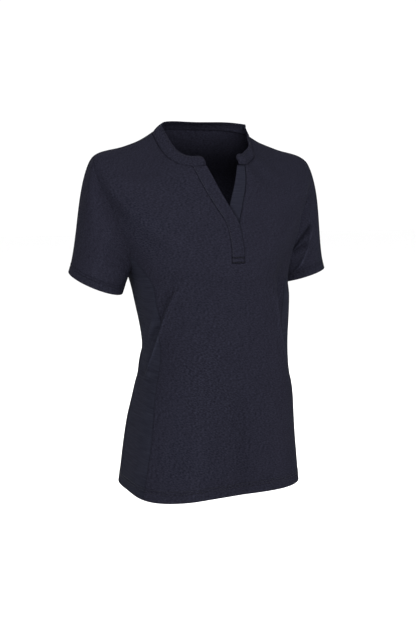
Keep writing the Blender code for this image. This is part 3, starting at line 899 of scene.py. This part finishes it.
print("filled out by", ARMHOLE_FILL * 1000, "mm at the armhole")

# %% [markdown]
# ### Rows of the grid
#
# All body pieces share one list of levels, so that their seams match row by row. Rows
# are close together where the shape changes fast: at the hem's edge and stitches.

# %% Rows from hem to neck
EDGE_ROWS = np.array((0.0, 0.0003, 0.0007, 0.0013, 0.0024, 0.0045, 0.0080, 0.0115))
STITCHED_ROWS = np.arange(0.0130, 0.0240, 0.0005)
BELOW_FROM = 0.0265
BELOW_COUNT = 112
BESIDE_COUNT = 56
ABOVE_COUNT = 20
ABOVE_END = 0.0045
NECK_ROWS = np.array((0.0034, 0.0025, 0.0018, 0.0012, 0.0007, 0.0003, 0.0))


def body_levels():
    """Levels of the rows from hem to neck, close together at the hem's stitches and both edges."""
    below = np.linspace(HEM + BELOW_FROM, PANEL_TOP, BELOW_COUNT)
    beside = armhole(np.linspace(PANEL_TURN, 0, BESIDE_COUNT))[1]
    above = np.linspace(SHOULDER_TIP, NECK - ABOVE_END, ABOVE_COUNT)
    return np.concatenate((HEM + EDGE_ROWS, HEM + STITCHED_ROWS, below, beside[1:], above[1:],
                           NECK - NECK_ROWS))


levels = body_levels()
print("rows from hem to neck:", len(levels))

# %% [markdown]
# ## Front
#
# The front is one cut piece with a slot for the placket. A separate left and right
# half would need a false seam under the placket, so it is one grid, and the cells
# of the slot are left out. Both long edges of the slot turn in, as seams do.

# %% Placket's place on the front
STRIP_END = UNDERARM + 0.0003
SLOT_END = STRIP_END - 0.0002       # the slot in the front is a little longer than the strips
SLOT_ROWS = np.array((-0.002, -0.001, 0.0, 0.001, 0.002))
FRONT_COLUMNS = 56
FAR_AWAY = 1.0              # stands for the slot's distance below its end
UNDER_NARROWER = 0.0075     # how much less of the under strip shows at the neck
STRIP_COLUMNS = ("level", "outer_x", "inner_x")
STRIPS = (
    (STRIP_END, -0.0125, 0.0125),
    (-0.180, -0.0110, 0.0135),
    (-0.160, -0.0135, 0.0120),
    (-0.130, -0.0275, 0.0000),
    (-0.092, -0.0450, -0.0170),
    (NECK, -0.0560, -0.0310),
)


def phi_at(x, level):
    """Angle at which a ring's front is x metres from its middle: its formula turned round."""
    ring = named(RINGS, RING_COLUMNS, level)
    square = ring["front_square"]
    q = np.abs(x) / np.where(x > 0, ring["left"], ring["right"])
    return np.sign(x) * np.arctan(q / (1 - q**square) ** (1 / square))


def strip_edges(level):
    """The two edges of the upper strip as angles, outer first."""
    edges = named(STRIPS, STRIP_COLUMNS, level)
    return phi_at(edges["outer_x"], level), phi_at(edges["inner_x"], level)


def under_edges(level):
    """The under strip's edges, outer first: the upper one's mirrored, narrower at the neck."""
    edges = named(STRIPS, STRIP_COLUMNS, level)
    narrower = UNDER_NARROWER * np.clip((level - STRIP_END) / (NECK - STRIP_END), 0, 1) ** 2
    return phi_at(-edges["outer_x"] - narrower, level), phi_at(-edges["inner_x"], level)


print("the slot is", round(NECK - SLOT_END, 4), "m long")

# %% Front
def front_cloth():
    """Patch of the form between the side edges, without the slot, rolled in at every seam."""
    rows = np.sort(np.concatenate((levels, SLOT_END + SLOT_ROWS)))
    edge = side_edge(rows, "front_phi", -ARMHOLE_FRONT)
    edge = edge + SEAM_OVERLAP / metres_round(edge, rows)
    outer, inner = strip_edges(rows)
    shares = spread_out(FRONT_COLUMNS)[None, :]
    slot_right = outer[:, None]
    slot_left = np.maximum(under_edges(rows)[0], inner)[:, None]
    right = -edge[:, None] + (slot_right + edge[:, None]) * shares
    left = slot_left + (edge[:, None] - slot_left) * shares
    phi = np.concatenate((right, left), axis=1)
    level = rows[:, None] + 0 * phi
    points, normal = patch(form, phi, level)
    half = right.shape[1]
    runs = [run_lengths(part, 1) for part in (points[:, :half], points[:, half:])]
    to_end = [run[:, -1:] - run for run in runs]
    from_side = np.concatenate((runs[0], to_end[1]), axis=1)
    from_slot = np.concatenate((to_end[0], runs[1]), axis=1)
    from_slot = np.where(level > SLOT_END - SMALL_STEP, from_slot, FAR_AWAY)
    up = run_lengths(points, 0)
    from_seam = np.minimum(np.minimum(from_side, from_slot), up[-1:] - up)
    kept = np.ones((len(rows) - 1, phi.shape[1] - 1), dtype=bool)
    kept[rows[:-1] > SLOT_END - SMALL_STEP, half - 1] = False
    outside, inside, shade = sewn_faces(points, normal, from_seam, up, (1, -1))
    shade = shade + painted_crease_shading(body_creases(phi, level))
    shades = (shade, painted_inside_shade(inside))
    return cloth_wall("front_cloth", outside, inside, shades, heather, kept=kept)


front = front_cloth()

# %% [markdown]
# ## Back
#
# The back is whole, with no yoke. It is the same kind of patch, from one side seam
# round behind to the other.

# %% Back
BACK_COLUMNS = 124
BACK_SPAN = 0.46


def back_cloth():
    """Patch of the form behind the side edges, rolled at its sides and neck, hemmed below."""
    edge = side_edge(levels, "back_phi", ARMHOLE_BACK)
    edge = edge - SEAM_OVERLAP / metres_round(edge, levels)
    shares = spread_out(BACK_COLUMNS, span=BACK_SPAN)[None, :]
    phi = edge[:, None] + (2 * np.pi - 2 * edge)[:, None] * shares
    points, normal = patch(form, phi, levels[:, None] + 0 * phi)
    up = run_lengths(points, 0)
    to_neck = up[-1:] - up
    from_seam = np.minimum(from_ends(run_lengths(points, 1)), to_neck)
    outside, inside, shade = sewn_faces(points, normal, from_seam, up, (1, -1))
    shade_inside = np.maximum(painted_inside_shade(inside), INSIDE_SEAM * seam_line(to_neck))
    return cloth_wall("back_cloth", outside, inside, (shade, shade_inside), heather)


back = back_cloth()

# %% [markdown]
# ## Side panels
#
# A side panel follows its two seams down and the underarm across its top. Its rows
# bend near the top until the last one lies on the armhole's oval.

# %% Side panels
PANEL_TOP_BEND = 6
PANEL_COLUMNS = 26
PANEL_SPAN = 0.10


def side_panel_cloth(name, side):
    """Patch between the two side seams.

    Rows near the top bend to the armhole's oval, by the sixth power of their height.
    """
    rows = levels[levels <= PANEL_TOP + SMALL_STEP]
    up_share = ((rows - HEM) / (PANEL_TOP - HEM))[:, None]
    shares = spread_out(PANEL_COLUMNS, span=PANEL_SPAN)[None, :]
    top_phi, top = armhole(PANEL_TURN + 2 * (np.pi - PANEL_TURN) * shares)
    level = HEM + (top - HEM) * up_share
    seams = named(SIDE_SEAMS, SEAM_COLUMNS, level)
    front_phi = np.radians(seams["front_phi"])
    back_phi = np.radians(seams["back_phi"])
    phi = front_phi + (back_phi - front_phi) * shares
    phi += (top_phi - phi[-1:]) * up_share**PANEL_TOP_BEND
    phi -= SEAM_OVERLAP / metres_round(front_phi, level) * (1 - 2 * shares)
    if side < 0:
        phi, level = -phi[:, ::-1], level[:, ::-1]
    points, normal = patch(form, phi, level)
    up = run_lengths(points, 0)
    from_seam = np.minimum(from_ends(run_lengths(points, 1)), up[-1:] - up)
    outside, inside, shade = sewn_faces(points, normal, from_seam, up, (side,))
    shade = shade + painted_crease_shading(body_creases(phi, level))
    return cloth_wall(name, outside, inside, (shade, painted_inside_shade(inside)), slub)


side_panels = [side_panel_cloth("side_panel_left_cloth", 1),
               side_panel_cloth("side_panel_right_cloth", -1)]

# %% [markdown]
# ## Sleeves
#
# A set-in sleeve leaves the armhole along the shoulder, and comes to its hem along the
# arm. Each line from the armhole to the hem is a cubic curve with those two
# directions, which gives the round cap and the short underarm. Small drag folds run
# from the front of the underarm, most on the wearer's left.

# %% Sizes of the sleeves
CUFF_CENTRE = np.array((0.2085, 0.0270, -0.2650))
CUFF_ACROSS = 0.049
CUFF_DEPTH = 0.056
CUFF_TILT = np.radians(17.0)
CUFF_FALL = {-1: 0.014, 1: -0.004}      # how far the front of the right and left hem hangs lower
LEAVE_SIDES = np.array((0.38, 0.0, -0.85))      # directions in which the cloth leaves the armhole
LEAVE_TOP = np.array((0.37, 0.0, -0.57))
LEAVE_UNDERARM = np.array((0.28, 0.0, -0.85))
LEAVE_FORWARD = 0.35
ARRIVE = np.array((0.34, 0.0, -0.960))          # direction in which it comes to the hem
LEAVE_PULL = 0.9            # how far each direction is followed, as a share of the way
ARRIVE_PULL = 0.8
SLEEVE_RADIUS = 0.052       # turns an angle round the sleeve into a girth
SLEEVE_LENGTH = 0.15        # and a share of the way down it into a length
SLEEVE_HEM = 0.0170
SLEEVE_FOLDS = {            # from_turn, from_down, to_turn, to_down, half_width, height
    1: ((116.0, 0.12, 74.0, 0.34, 0.0052, -0.0050),
        (118.0, 0.20, 88.0, 0.44, 0.0046, -0.0040),
        (70.0, 0.39, 85.0, 0.46, 0.0055, 0.0034),
        (85.0, 0.46, 116.0, 0.62, 0.0055, 0.0036),
        (-120.0, 0.20, -70.0, 0.44, 0.0060, -0.0018)),
    -1: ((124.0, 0.24, 80.0, 0.46, 0.0060, -0.0018),
         (128.0, 0.38, 92.0, 0.56, 0.0060, -0.0016),
         (76.0, 0.30, 60.0, 0.80, 0.0090, 0.0014),
         (-122.0, 0.20, -74.0, 0.46, 0.0060, -0.0018)),
}
print("sleeve hem at", CUFF_CENTRE.tolist())

# %% [markdown]
# ### The tube of a sleeve
#
# The curves are one formula of two parameters: the turn round the armhole, and the
# share of the way down. The right sleeve is the left one's mirror image, but for its
# hem and creases.

# %% The tube of a sleeve
def sleeve_creases(side, turn, down):
    """The creases of one sleeve, measured round it and down it."""
    return creases(bells(SLEEVE_FOLDS[side], SLEEVE_RADIUS, SLEEVE_LENGTH, turn, down))


def sleeve_tube(side, turn, down):
    """Cubic curves from the armhole to the hem's tilted oval, each with two end directions."""
    top = np.cos(turn)
    toward_front = np.sin(turn)
    seam_phi, seam_level = armhole(turn)
    start = form(side * seam_phi, seam_level)
    outward = np.array((np.cos(CUFF_TILT), 0, np.sin(CUFF_TILT)))
    end = (CUFF_CENTRE + CUFF_ACROSS * top[..., None] * outward
           + toward_front[..., None] * np.array((0, -CUFF_DEPTH, -CUFF_FALL[side])))
    leave = (LEAVE_SIDES + np.maximum(top, 0)[..., None] * (LEAVE_TOP - LEAVE_SIDES)
             + np.maximum(-top, 0)[..., None] * (LEAVE_UNDERARM - LEAVE_SIDES))
    leave[..., 1] -= LEAVE_FORWARD * toward_front
    arrive = ARRIVE + np.zeros_like(end)
    for vectors in (end, leave, arrive):
        vectors[..., 0] *= side
    reach = np.linalg.norm(end - start, axis=-1, keepdims=True)
    s = down[..., None]
    return ((2 * s**3 - 3 * s**2 + 1) * start
            + (s**3 - 2 * s**2 + s) * LEAVE_PULL * reach * leave
            + (3 * s**2 - 2 * s**3) * end
            + (s**3 - s**2) * ARRIVE_PULL * reach * arrive)


def sleeve_surface(side):
    """Surface of one sleeve by turn and down, its creases moved along the tube's own normal."""
    def tube(turn, down):
        return sleeve_tube(side, turn, down)

    def folded(turn, down):
        out = side * sleeve_creases(side, turn, down)
        return tube(turn, down) + out[..., None] * facing(tube, turn, down)

    return folded


shoulder, sleeve_end = sleeve_tube(1, np.zeros(2), np.array((0.0, 1.0)))
print("from shoulder to sleeve hem:", round(float(np.linalg.norm(sleeve_end - shoulder)), 3), "m")

# %% Sleeves
SLEEVE_COLUMNS = 144
SLEEVE_TOP_ROWS = np.array((0.0, 0.0003, 0.0008, 0.0014, 0.0022, 0.0033)) / SLEEVE_LENGTH
SLEEVE_HEM_ROWS = np.array((0.0225, *np.arange(0.0205, 0.0105, -0.0005), 0.0080, 0.0050, 0.0028,
                            0.0014, 0.0007, 0.0003, 0.0)) / SLEEVE_LENGTH
SLEEVE_EVEN_FROM = 0.035
SLEEVE_EVEN_ROWS = 44


def sleeve_cloth(name, side):
    """Tube of cloth from the armhole's seam to the sleeve's hem."""
    surface = sleeve_surface(side)
    around = np.linspace(0, 2 * np.pi, SLEEVE_COLUMNS + 1)[:-1]
    even = np.linspace(SLEEVE_EVEN_FROM, 1 - SLEEVE_HEM_ROWS[0], SLEEVE_EVEN_ROWS)
    down = np.concatenate((SLEEVE_TOP_ROWS, even[:-1], 1 - SLEEVE_HEM_ROWS))
    turn, fall = np.meshgrid(-side * around, down)
    points = surface(turn, fall)[::-1]
    normal = (side * facing(surface, turn, fall))[::-1]
    up = run_lengths(points, 0)
    outside, inside, shade = sewn_faces(points, normal, up[-1:] - up, up, (side,), SLEEVE_HEM)
    shade = shade + painted_crease_shading(sleeve_creases(side, turn, fall)[::-1])
    return cloth_wall(name, outside, inside, (shade, 0 * shade), heather, tube=True)


sleeves = [sleeve_cloth("sleeve_left_cloth", 1), sleeve_cloth("sleeve_right_cloth", -1)]

# %% [markdown]
# ## Stand band
#
# In place of a collar the neck has a low band, cut along the knit, folded double and
# sewn on. It leans in over the neck, more behind, and its two front ends are round.
# Its free edge is thick and soft, so the wall is thinned there over a wider radius.

# %% Sizes of the band
BAND_CLOTH = 0.0022
BAND_HEIGHT = 0.028         # in front,
BAND_BACK_HEIGHT = 0.021    # and behind
BAND_LEFT_FALL = 0.008      # it is lower behind the wearer's left shoulder
BAND_END_FALL = 0.0055      # and beside its left front end,
BAND_END_AT = np.radians(17.0)      # this far round from the end
BAND_END_TURN = np.radians(16.0)
BAND_ROUNDING = 0.013       # radius of its round front ends
BAND_RIGHT_END = 0.0315     # where they are, from the middle
BAND_LEFT_END = 0.0340
BAND_LEAN = np.radians(45.0)
BAND_BACK_LEAN = np.radians(54.0)
BAND_LEFT_LEAN = np.radians(-31.0)
BAND_EDGE_ROUND = 0.0013    # radius of its free edge
BAND_END_DARK = 2.4         # how much more painted shade its seam has under its two ends
BAND_PUFF = 0.0014          # how far its middle stands out, as the fold inside fills it
BAND_STITCH = 0.0036        # distance of the row of stitches from the band's free edge
print("band", BAND_HEIGHT * 1000, "mm high in front,", BAND_BACK_HEIGHT * 1000, "mm behind")

# %% [markdown]
# ### Surface of the band
#
# The band's seam follows the body's own neck ring. From there each point goes in and up
# by its height, at the lean that the band has there.

# %% Surface of the band
def band_surface(phi, height):
    """From the neck seam: in and up by the height, at the lean that the band has there."""
    base = form(phi, NECK + 0 * phi)
    along_it = form(phi + SMALL_STEP, NECK + 0 * phi) - form(phi - SMALL_STEP, NECK + 0 * phi)
    inward = unit(np.cross(np.array((0, 0, 1.0)), along_it))
    toward_back = (1 - np.cos(phi)) / 2
    lean = (BAND_LEAN + (BAND_BACK_LEAN - BAND_LEAN) * toward_back
            + BAND_LEFT_LEAN * np.maximum(np.sin(phi), 0))
    rise = inward * np.sin(lean)[..., None] + np.array((0, 0, 1.0)) * np.cos(lean)[..., None]
    return base + height[..., None] * rise


BAND_START = float(phi_at(np.array(BAND_LEFT_END), np.array(NECK)))
BAND_STOP = 2 * np.pi + float(phi_at(np.array(-BAND_RIGHT_END), np.array(NECK)))


def band_tall(phi):
    """Height of the band: less behind and beside its left end, a quarter circle at both ends."""
    girth = np.minimum(phi - BAND_START, BAND_STOP - phi) * metres_round(phi, NECK + 0 * phi)
    corner = np.clip(1 - girth / BAND_ROUNDING, 0, 1)
    tall = BAND_HEIGHT + (BAND_BACK_HEIGHT - BAND_HEIGHT) * (1 - np.cos(phi)) / 2
    tall = tall - BAND_LEFT_FALL * np.maximum(np.sin(phi), 0) * ((1 - np.cos(phi)) / 2) ** 2
    tall = tall - BAND_END_FALL * np.exp(-((phi - BAND_START - BAND_END_AT) / BAND_END_TURN) ** 2)
    return tall - BAND_ROUNDING * (1 - np.sqrt(1 - corner**2))


print("band round the neck:", round(float(np.degrees(BAND_STOP - BAND_START)), 1), "degrees")

# %% Stand band
BAND_END_STEPS = np.radians(np.array((0.0, 0.25, 0.6, 1.1, 1.7, 2.4, 3.2, 4.1, 5.1, 6.2, 7.4, 8.7)))
BAND_COLUMNS = 190
BAND_ROWS = np.array((0.0, 0.02, 0.045, 0.08, 0.13, 0.2, 0.3, 0.4, 0.5, 0.6, 0.7, 0.78, 0.83, 0.86,
                      0.885, 0.91, 0.935, 0.955, 0.97, 0.982, 0.992, 1.0))


def band_cloth():
    """Folded band: rows from the neck seam to the free edge, columns crowded at its ends."""
    start, stop = BAND_START + BAND_END_STEPS, BAND_STOP - BAND_END_STEPS[::-1]
    run = np.concatenate((start, np.linspace(start[-1], stop[0], BAND_COLUMNS)[1:-1], stop))
    phi, share = np.meshgrid(run, BAND_ROWS)
    points, normal = patch(band_surface, phi, band_tall(phi) * share)
    from_end = from_ends(run_lengths(points, 1))
    up = run_lengths(points, 0)
    from_top = np.minimum(up[-1:] - up, from_end)
    lift = sewn(up) - groove(from_top - BAND_STITCH) + BAND_PUFF * np.sin(np.pi * share)
    outside, inside = between_faces(points, normal, lift, rounded(from_top, BAND_EDGE_ROUND),
                                    BAND_CLOTH)
    # Painted shade along the seam, stronger under the two ends, and along the row of stitches.
    under_end = 1 + BAND_END_DARK * np.exp(-(from_end / BAND_ROUNDING) ** 2)
    shade = np.maximum(seam_line(up) * under_end, row_line(from_top - BAND_STITCH))
    return cloth_wall("collar_band_cloth", outside, inside, (shade, INSIDE_SEAM * seam_line(up)),
                      heather)


band = band_cloth()

# %% [markdown]
# ## The two strips of the placket
#
# The upper strip, on the wearer's right, is heather and lies on top. The under strip
# is slub jersey, one layer further in, and shows only where the neck falls open. Both
# are folded, so their long edges are round. The upper one's free edge has a painted
# dark line, with a soft painted shadow beside it on the under one, which tells the two
# layers apart.

# %% Sizes of the strips
STRIP_PROUD = 0.0004        # how far the upper strip stands out from the front's cloth
UNDER_DEPTH = -0.0017       # and how far in the under one lies
STRIP_CLOTH = 0.0013
STRIP_SHORT_ROWS = (0.0014, 0.0100)     # heights of the rows that box in its square end
STRIP_ROWS = np.array((0.0, 0.0003, 0.0007, 0.0012, 0.0019, 0.0028, 0.0040, 0.0060, 0.0080,
                       0.0092, 0.0097, 0.0102, 0.0108, 0.0120))
STRIP_ROWS_TO = 0.013       # above this it has the body's own rows
STRIP_EVEN = 12
STRIP_NEAR = (0.0, 0.0003, 0.0007, 0.0012, 0.0017, 0.0022, 0.0027, 0.0034)
STRIP_WIDTH = 0.025
STRIP_ROLL = 0.6            # share of a seam's roll that its edges have,
STRIP_ROLL_REACH = 1.6      # and how many times nearer to the edge that is
# Painted shade on the short rows, along both strips' sewn edges and at the upper strip's free edge,
# and a painted shadow on the under strip beside that edge.
BOX_DARK = 3.0              # how much darker its short rows are than a hem's
STRIP_SEAM = 0.3            # share of a seam's darkness along its sewn edge
STRIP_EDGE = 1.10           # darkness of the upper strip's free edge,
STRIP_EDGE_REACH = 0.0009   # and how far in from it that goes
STRIP_SHADOW = 0.50         # darkness of the under strip beside that edge,
STRIP_SHADOW_REACH = 0.0040     # and how far from it that goes
print("box of stitches", round((STRIP_SHORT_ROWS[1] - STRIP_SHORT_ROWS[0]) * 1000, 1), "mm high")

# %% [markdown]
# ### Cloth of the strips
#
# One function makes both. Only the upper strip has rows of stitches, and only the under
# one takes a shade from the other.

# %% Placket strips
def strip_cloth(name, upper, lift, finish):
    """Patch between the strip's two edges, with a groove along each short row of the upper one."""
    rows = np.concatenate((STRIP_END + STRIP_ROWS, levels[levels > STRIP_END + STRIP_ROWS_TO]))
    outer, inner = strip_edges(rows) if upper else under_edges(rows)
    shares = spread_out(STRIP_EVEN, STRIP_NEAR, STRIP_WIDTH)[None, :]
    phi = outer[:, None] + (inner - outer)[:, None] * shares
    if not upper:
        phi = phi[:, ::-1]
    level = rows[:, None] + 0 * phi
    points, normal = patch(form, phi, level)
    across = run_lengths(points, 1)
    to_left = across[:, -1:] - across
    up = run_lengths(points, 0)
    to_neck = up[-1:] - up
    from_edge = np.minimum(across, to_left)
    rise = lift + STRIP_ROLL * sewn(np.minimum(to_neck, from_edge * STRIP_ROLL_REACH))
    shade = np.maximum(STRIP_SEAM * seam_line(across if upper else to_left), seam_line(to_neck))
    if upper:
        for row in STRIP_SHORT_ROWS:
            rise = rise - groove(up - row)
            shade = np.maximum(shade, BOX_DARK * row_line(up - row))
        beside = STRIP_EDGE * np.exp(-(to_left / STRIP_EDGE_REACH) ** 2)
    else:
        from_upper = (phi - strip_edges(level)[1]) * metres_round(phi, level)
        beside = STRIP_SHADOW * np.exp(-(from_upper / STRIP_SHADOW_REACH) ** 2)
    shade = np.maximum(shade, beside)
    thin = rounded(np.minimum(from_edge, up))
    outside, inside = between_faces(points, normal, rise, thin, STRIP_CLOTH)
    return cloth_wall(name, outside, inside, (shade, painted_inside_shade(inside)), finish)


placket_upper = strip_cloth("placket_upper_cloth", True, STRIP_PROUD, heather)
placket_under = strip_cloth("placket_under_cloth", False, UNDER_DEPTH, slub)

# %% [markdown]
# ## Stitches
#
# A row of stitches could be a bump in the finish, but on a hem it is what the eye
# looks for. Each stitch here is a short thread that dips into the cloth at both ends:
# five rings of six points. It is made once as a small table and set down along a path
# hundreds of times by one array sum.

# %% One stitch
STITCH_SIDES = 6
STITCH_RINGS = np.array((   # place along it, radius and height of each
    (-1.0, 0.35, -0.9), (-0.55, 0.9, -0.2), (0.0, 1.0, 0.0), (0.55, 0.9, -0.2), (1.0, 0.35, -0.9)))
THREAD_RADIUS = 0.00024
STITCH_PITCH = 0.0029
STITCH_SHARE = 0.80         # of the pitch, the rest is the needle's hole


def stitch_shape():
    """Points of one stitch, each ring a circle of its own radius and height, and its faces."""
    turn = np.arange(STITCH_SIDES) * 2 * np.pi / STITCH_SIDES
    length, radius, height = STITCH_RINGS.T
    ring = np.stack((length[:, None] + 0 * turn, radius[:, None] * np.cos(turn),
                     radius[:, None] * np.sin(turn) + height[:, None]), axis=-1)
    number = np.arange(ring.shape[0] * STITCH_SIDES).reshape(ring.shape[:2])
    on = np.roll(number, -1, axis=1)
    sides = np.stack((number[:-1], on[:-1], on[1:], number[1:]), axis=-1).reshape(-1, 4)
    return ring.reshape(-1, 3), sides, (number[0, ::-1], number[-1])


print("one stitch has", len(stitch_shape()[0]), "points")

# %% [markdown]
# ### A row of stitches
#
# A path and its normals give each stitch its middle and three directions. They are read
# off at even distances along the path.

# %% A row of stitches
def stitch_row(points, normals, closed=False):
    """Middles and directions of stitches that are spaced evenly along a path."""
    if closed:
        points = np.concatenate((points, points[:1]))
        normals = np.concatenate((normals, normals[:1]))
    run = run_lengths(points, 0)
    count = int(round(run[-1] / STITCH_PITCH))
    middle = (np.arange(count) + 0.5) * run[-1] / count

    def at(values, where_on):
        return np.stack([np.interp(where_on, run, values[:, axis]) for axis in range(3)], axis=-1)

    place = at(points, middle)
    tangent = unit(at(points, np.minimum(middle + STITCH_PITCH / 3, run[-1]))
                   - at(points, np.maximum(middle - STITCH_PITCH / 3, 0)))
    normal = at(normals, middle)
    aside = unit(np.cross(normal, tangent))
    up = np.cross(tangent, aside)
    return place, tangent, aside, up


def stitching(name, rows):
    """One mesh of the rows' stitches: middle + along * length + aside * width + up * height."""
    place, tangent, aside, up = [np.concatenate(parts)[:, None] for parts in zip(*rows)]
    shape, sides, caps = stitch_shape()
    length = shape[:, :1] * STITCH_PITCH * STITCH_SHARE / 2
    points = (place + length * tangent + shape[:, 1:2] * THREAD_RADIUS * aside
              + (shape[:, 2:] * THREAD_RADIUS) * up)
    first = (np.arange(len(place)) * len(shape))[:, None, None]
    faces = (sides[None] + first).reshape(-1, 4).tolist()
    for cap in caps:
        faces += (cap[None] + first[:, 0]).tolist()
    mesh = bpy.data.meshes.new(name)
    mesh.from_pydata(points.reshape(-1, 3).tolist(), [], faces)
    mesh.materials.append(thread)
    mesh.shade_smooth()
    print(name, len(place), "stitches")
    return added(name, mesh)


print("stitches are", round(STITCH_PITCH * 1000, 1), "mm apart")

# %% [markdown]
# ### Where the stitches run
#
# Two rows go round each hem, one along the band's free edge, and on the upper strip
# one beside the seam, with a box at the square end.

# %% Rows on the hems
THREAD_LIFT = 0.00012       # height of a stitch's middle above the cloth
BODY_SAMPLES = 720
SLEEVE_SAMPLES = 288


def body_row(height):
    """A row round the body at a height above the hem's edge."""
    phi = np.linspace(0, 2 * np.pi, BODY_SAMPLES + 1)[:-1]
    points, normal = patch(form, phi, HEM + height + 0 * phi)
    return stitch_row(points + (hemmed(height) + THREAD_LIFT) * normal, normal, closed=True)


def sleeve_row(side, height):
    """A row round a sleeve at a height above its hem's edge."""
    surface = sleeve_surface(side)
    turn = np.linspace(0, 2 * np.pi, SLEEVE_SAMPLES + 1)[:-1]
    length = np.linalg.norm(surface(turn, 0 * turn) - surface(turn, 1 + 0 * turn), axis=-1)
    points, normal = patch(surface, turn, 1 - height / length)
    normal = side * normal
    lift = hemmed(height, SLEEVE_HEM) + THREAD_LIFT
    return stitch_row(points + lift * normal, normal, closed=True)


hem_stitches = stitching("hem_stitching", [body_row(HEM_TURN), body_row(HEM_TURN - HEM_ROWS)])
sleeve_stitches = [
    stitching(name, [sleeve_row(side, SLEEVE_HEM), sleeve_row(side, SLEEVE_HEM - HEM_ROWS)])
    for name, side in (("sleeve_left_stitching", 1), ("sleeve_right_stitching", -1))]

# %% Rows on the band and the placket
BAND_ROW_END = np.radians(1.8)      # how far from the band's ends its row stops
BAND_SAMPLES = 400
LONG_ROW = 0.0016           # the long row's distance from the strip's sewn edge
LONG_ROW_TOP = 0.002        # and from the neck seam
SHORT_ROW = (0.0015, 0.0235)        # where the short rows begin and end, from that edge


def band_row():
    """A row beside the band's free edge, round its two front ends."""
    phi = np.linspace(BAND_START + BAND_ROW_END, BAND_STOP - BAND_ROW_END, BAND_SAMPLES)
    tall = band_tall(phi)
    height = tall - BAND_STITCH
    points, normal = patch(band_surface, phi, height)
    lift = THREAD_LIFT - GROOVE + BAND_PUFF * np.sin(np.pi * height / tall)
    return stitch_row(points + lift[..., None] * normal, normal)


def strip_point(across, level):
    """Point and normal on the upper strip, across metres in from its outer edge."""
    outer, inner = strip_edges(level)
    points, normal = patch(form, outer + across / metres_round(outer, level), level)
    return points + (STRIP_PROUD + THREAD_LIFT) * normal, normal


def strip_rows():
    """A row beside the strip's sewn edge from its square end to the neck, and two short rows."""
    level = np.linspace(STRIP_END + STRIP_SHORT_ROWS[0], NECK - LONG_ROW_TOP, 160)
    across = np.linspace(*SHORT_ROW, 20)
    rows = [stitch_row(*strip_point(LONG_ROW + 0 * level, level))]
    for height in STRIP_SHORT_ROWS:
        points, normal = strip_point(across, STRIP_END + height + 0 * across)
        rows.append(stitch_row(points - GROOVE * normal, normal))
    return rows


band_stitches = stitching("band_stitching", [band_row()])
placket_stitches = stitching("placket_stitching", strip_rows())

# %% [markdown]
# ## Each piece in place of its node
#
# Every piece rides on the shirt's one body and stands for its CAD node, which is
# hidden. The stitches ride on the same body.

# %% Bodies, nodes and slots
PIECES = (
    (front, "front", "heather_jersey"),
    (back, "back", "heather_jersey"),
    (side_panels[0], "side_panel_left", "slub_jersey"),
    (side_panels[1], "side_panel_right", "slub_jersey"),
    (sleeves[0], "sleeve_left", "heather_jersey"),
    (sleeves[1], "sleeve_right", "heather_jersey"),
    (band, "collar_band", "heather_jersey"),
    (placket_upper, "placket_upper", "heather_jersey"),
    (placket_under, "placket_under", "slub_jersey"),
)
for piece, node, slot in PIECES:
    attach(piece, "root")
    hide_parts(node)
for piece in (hem_stitches, *sleeve_stitches, band_stitches, placket_stitches):
    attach(piece, "root")
print(len(PIECES), "pieces stand for their nodes")

# %% Count of pieces
print("cut sizes are given for", len(PIECES), "sheets")
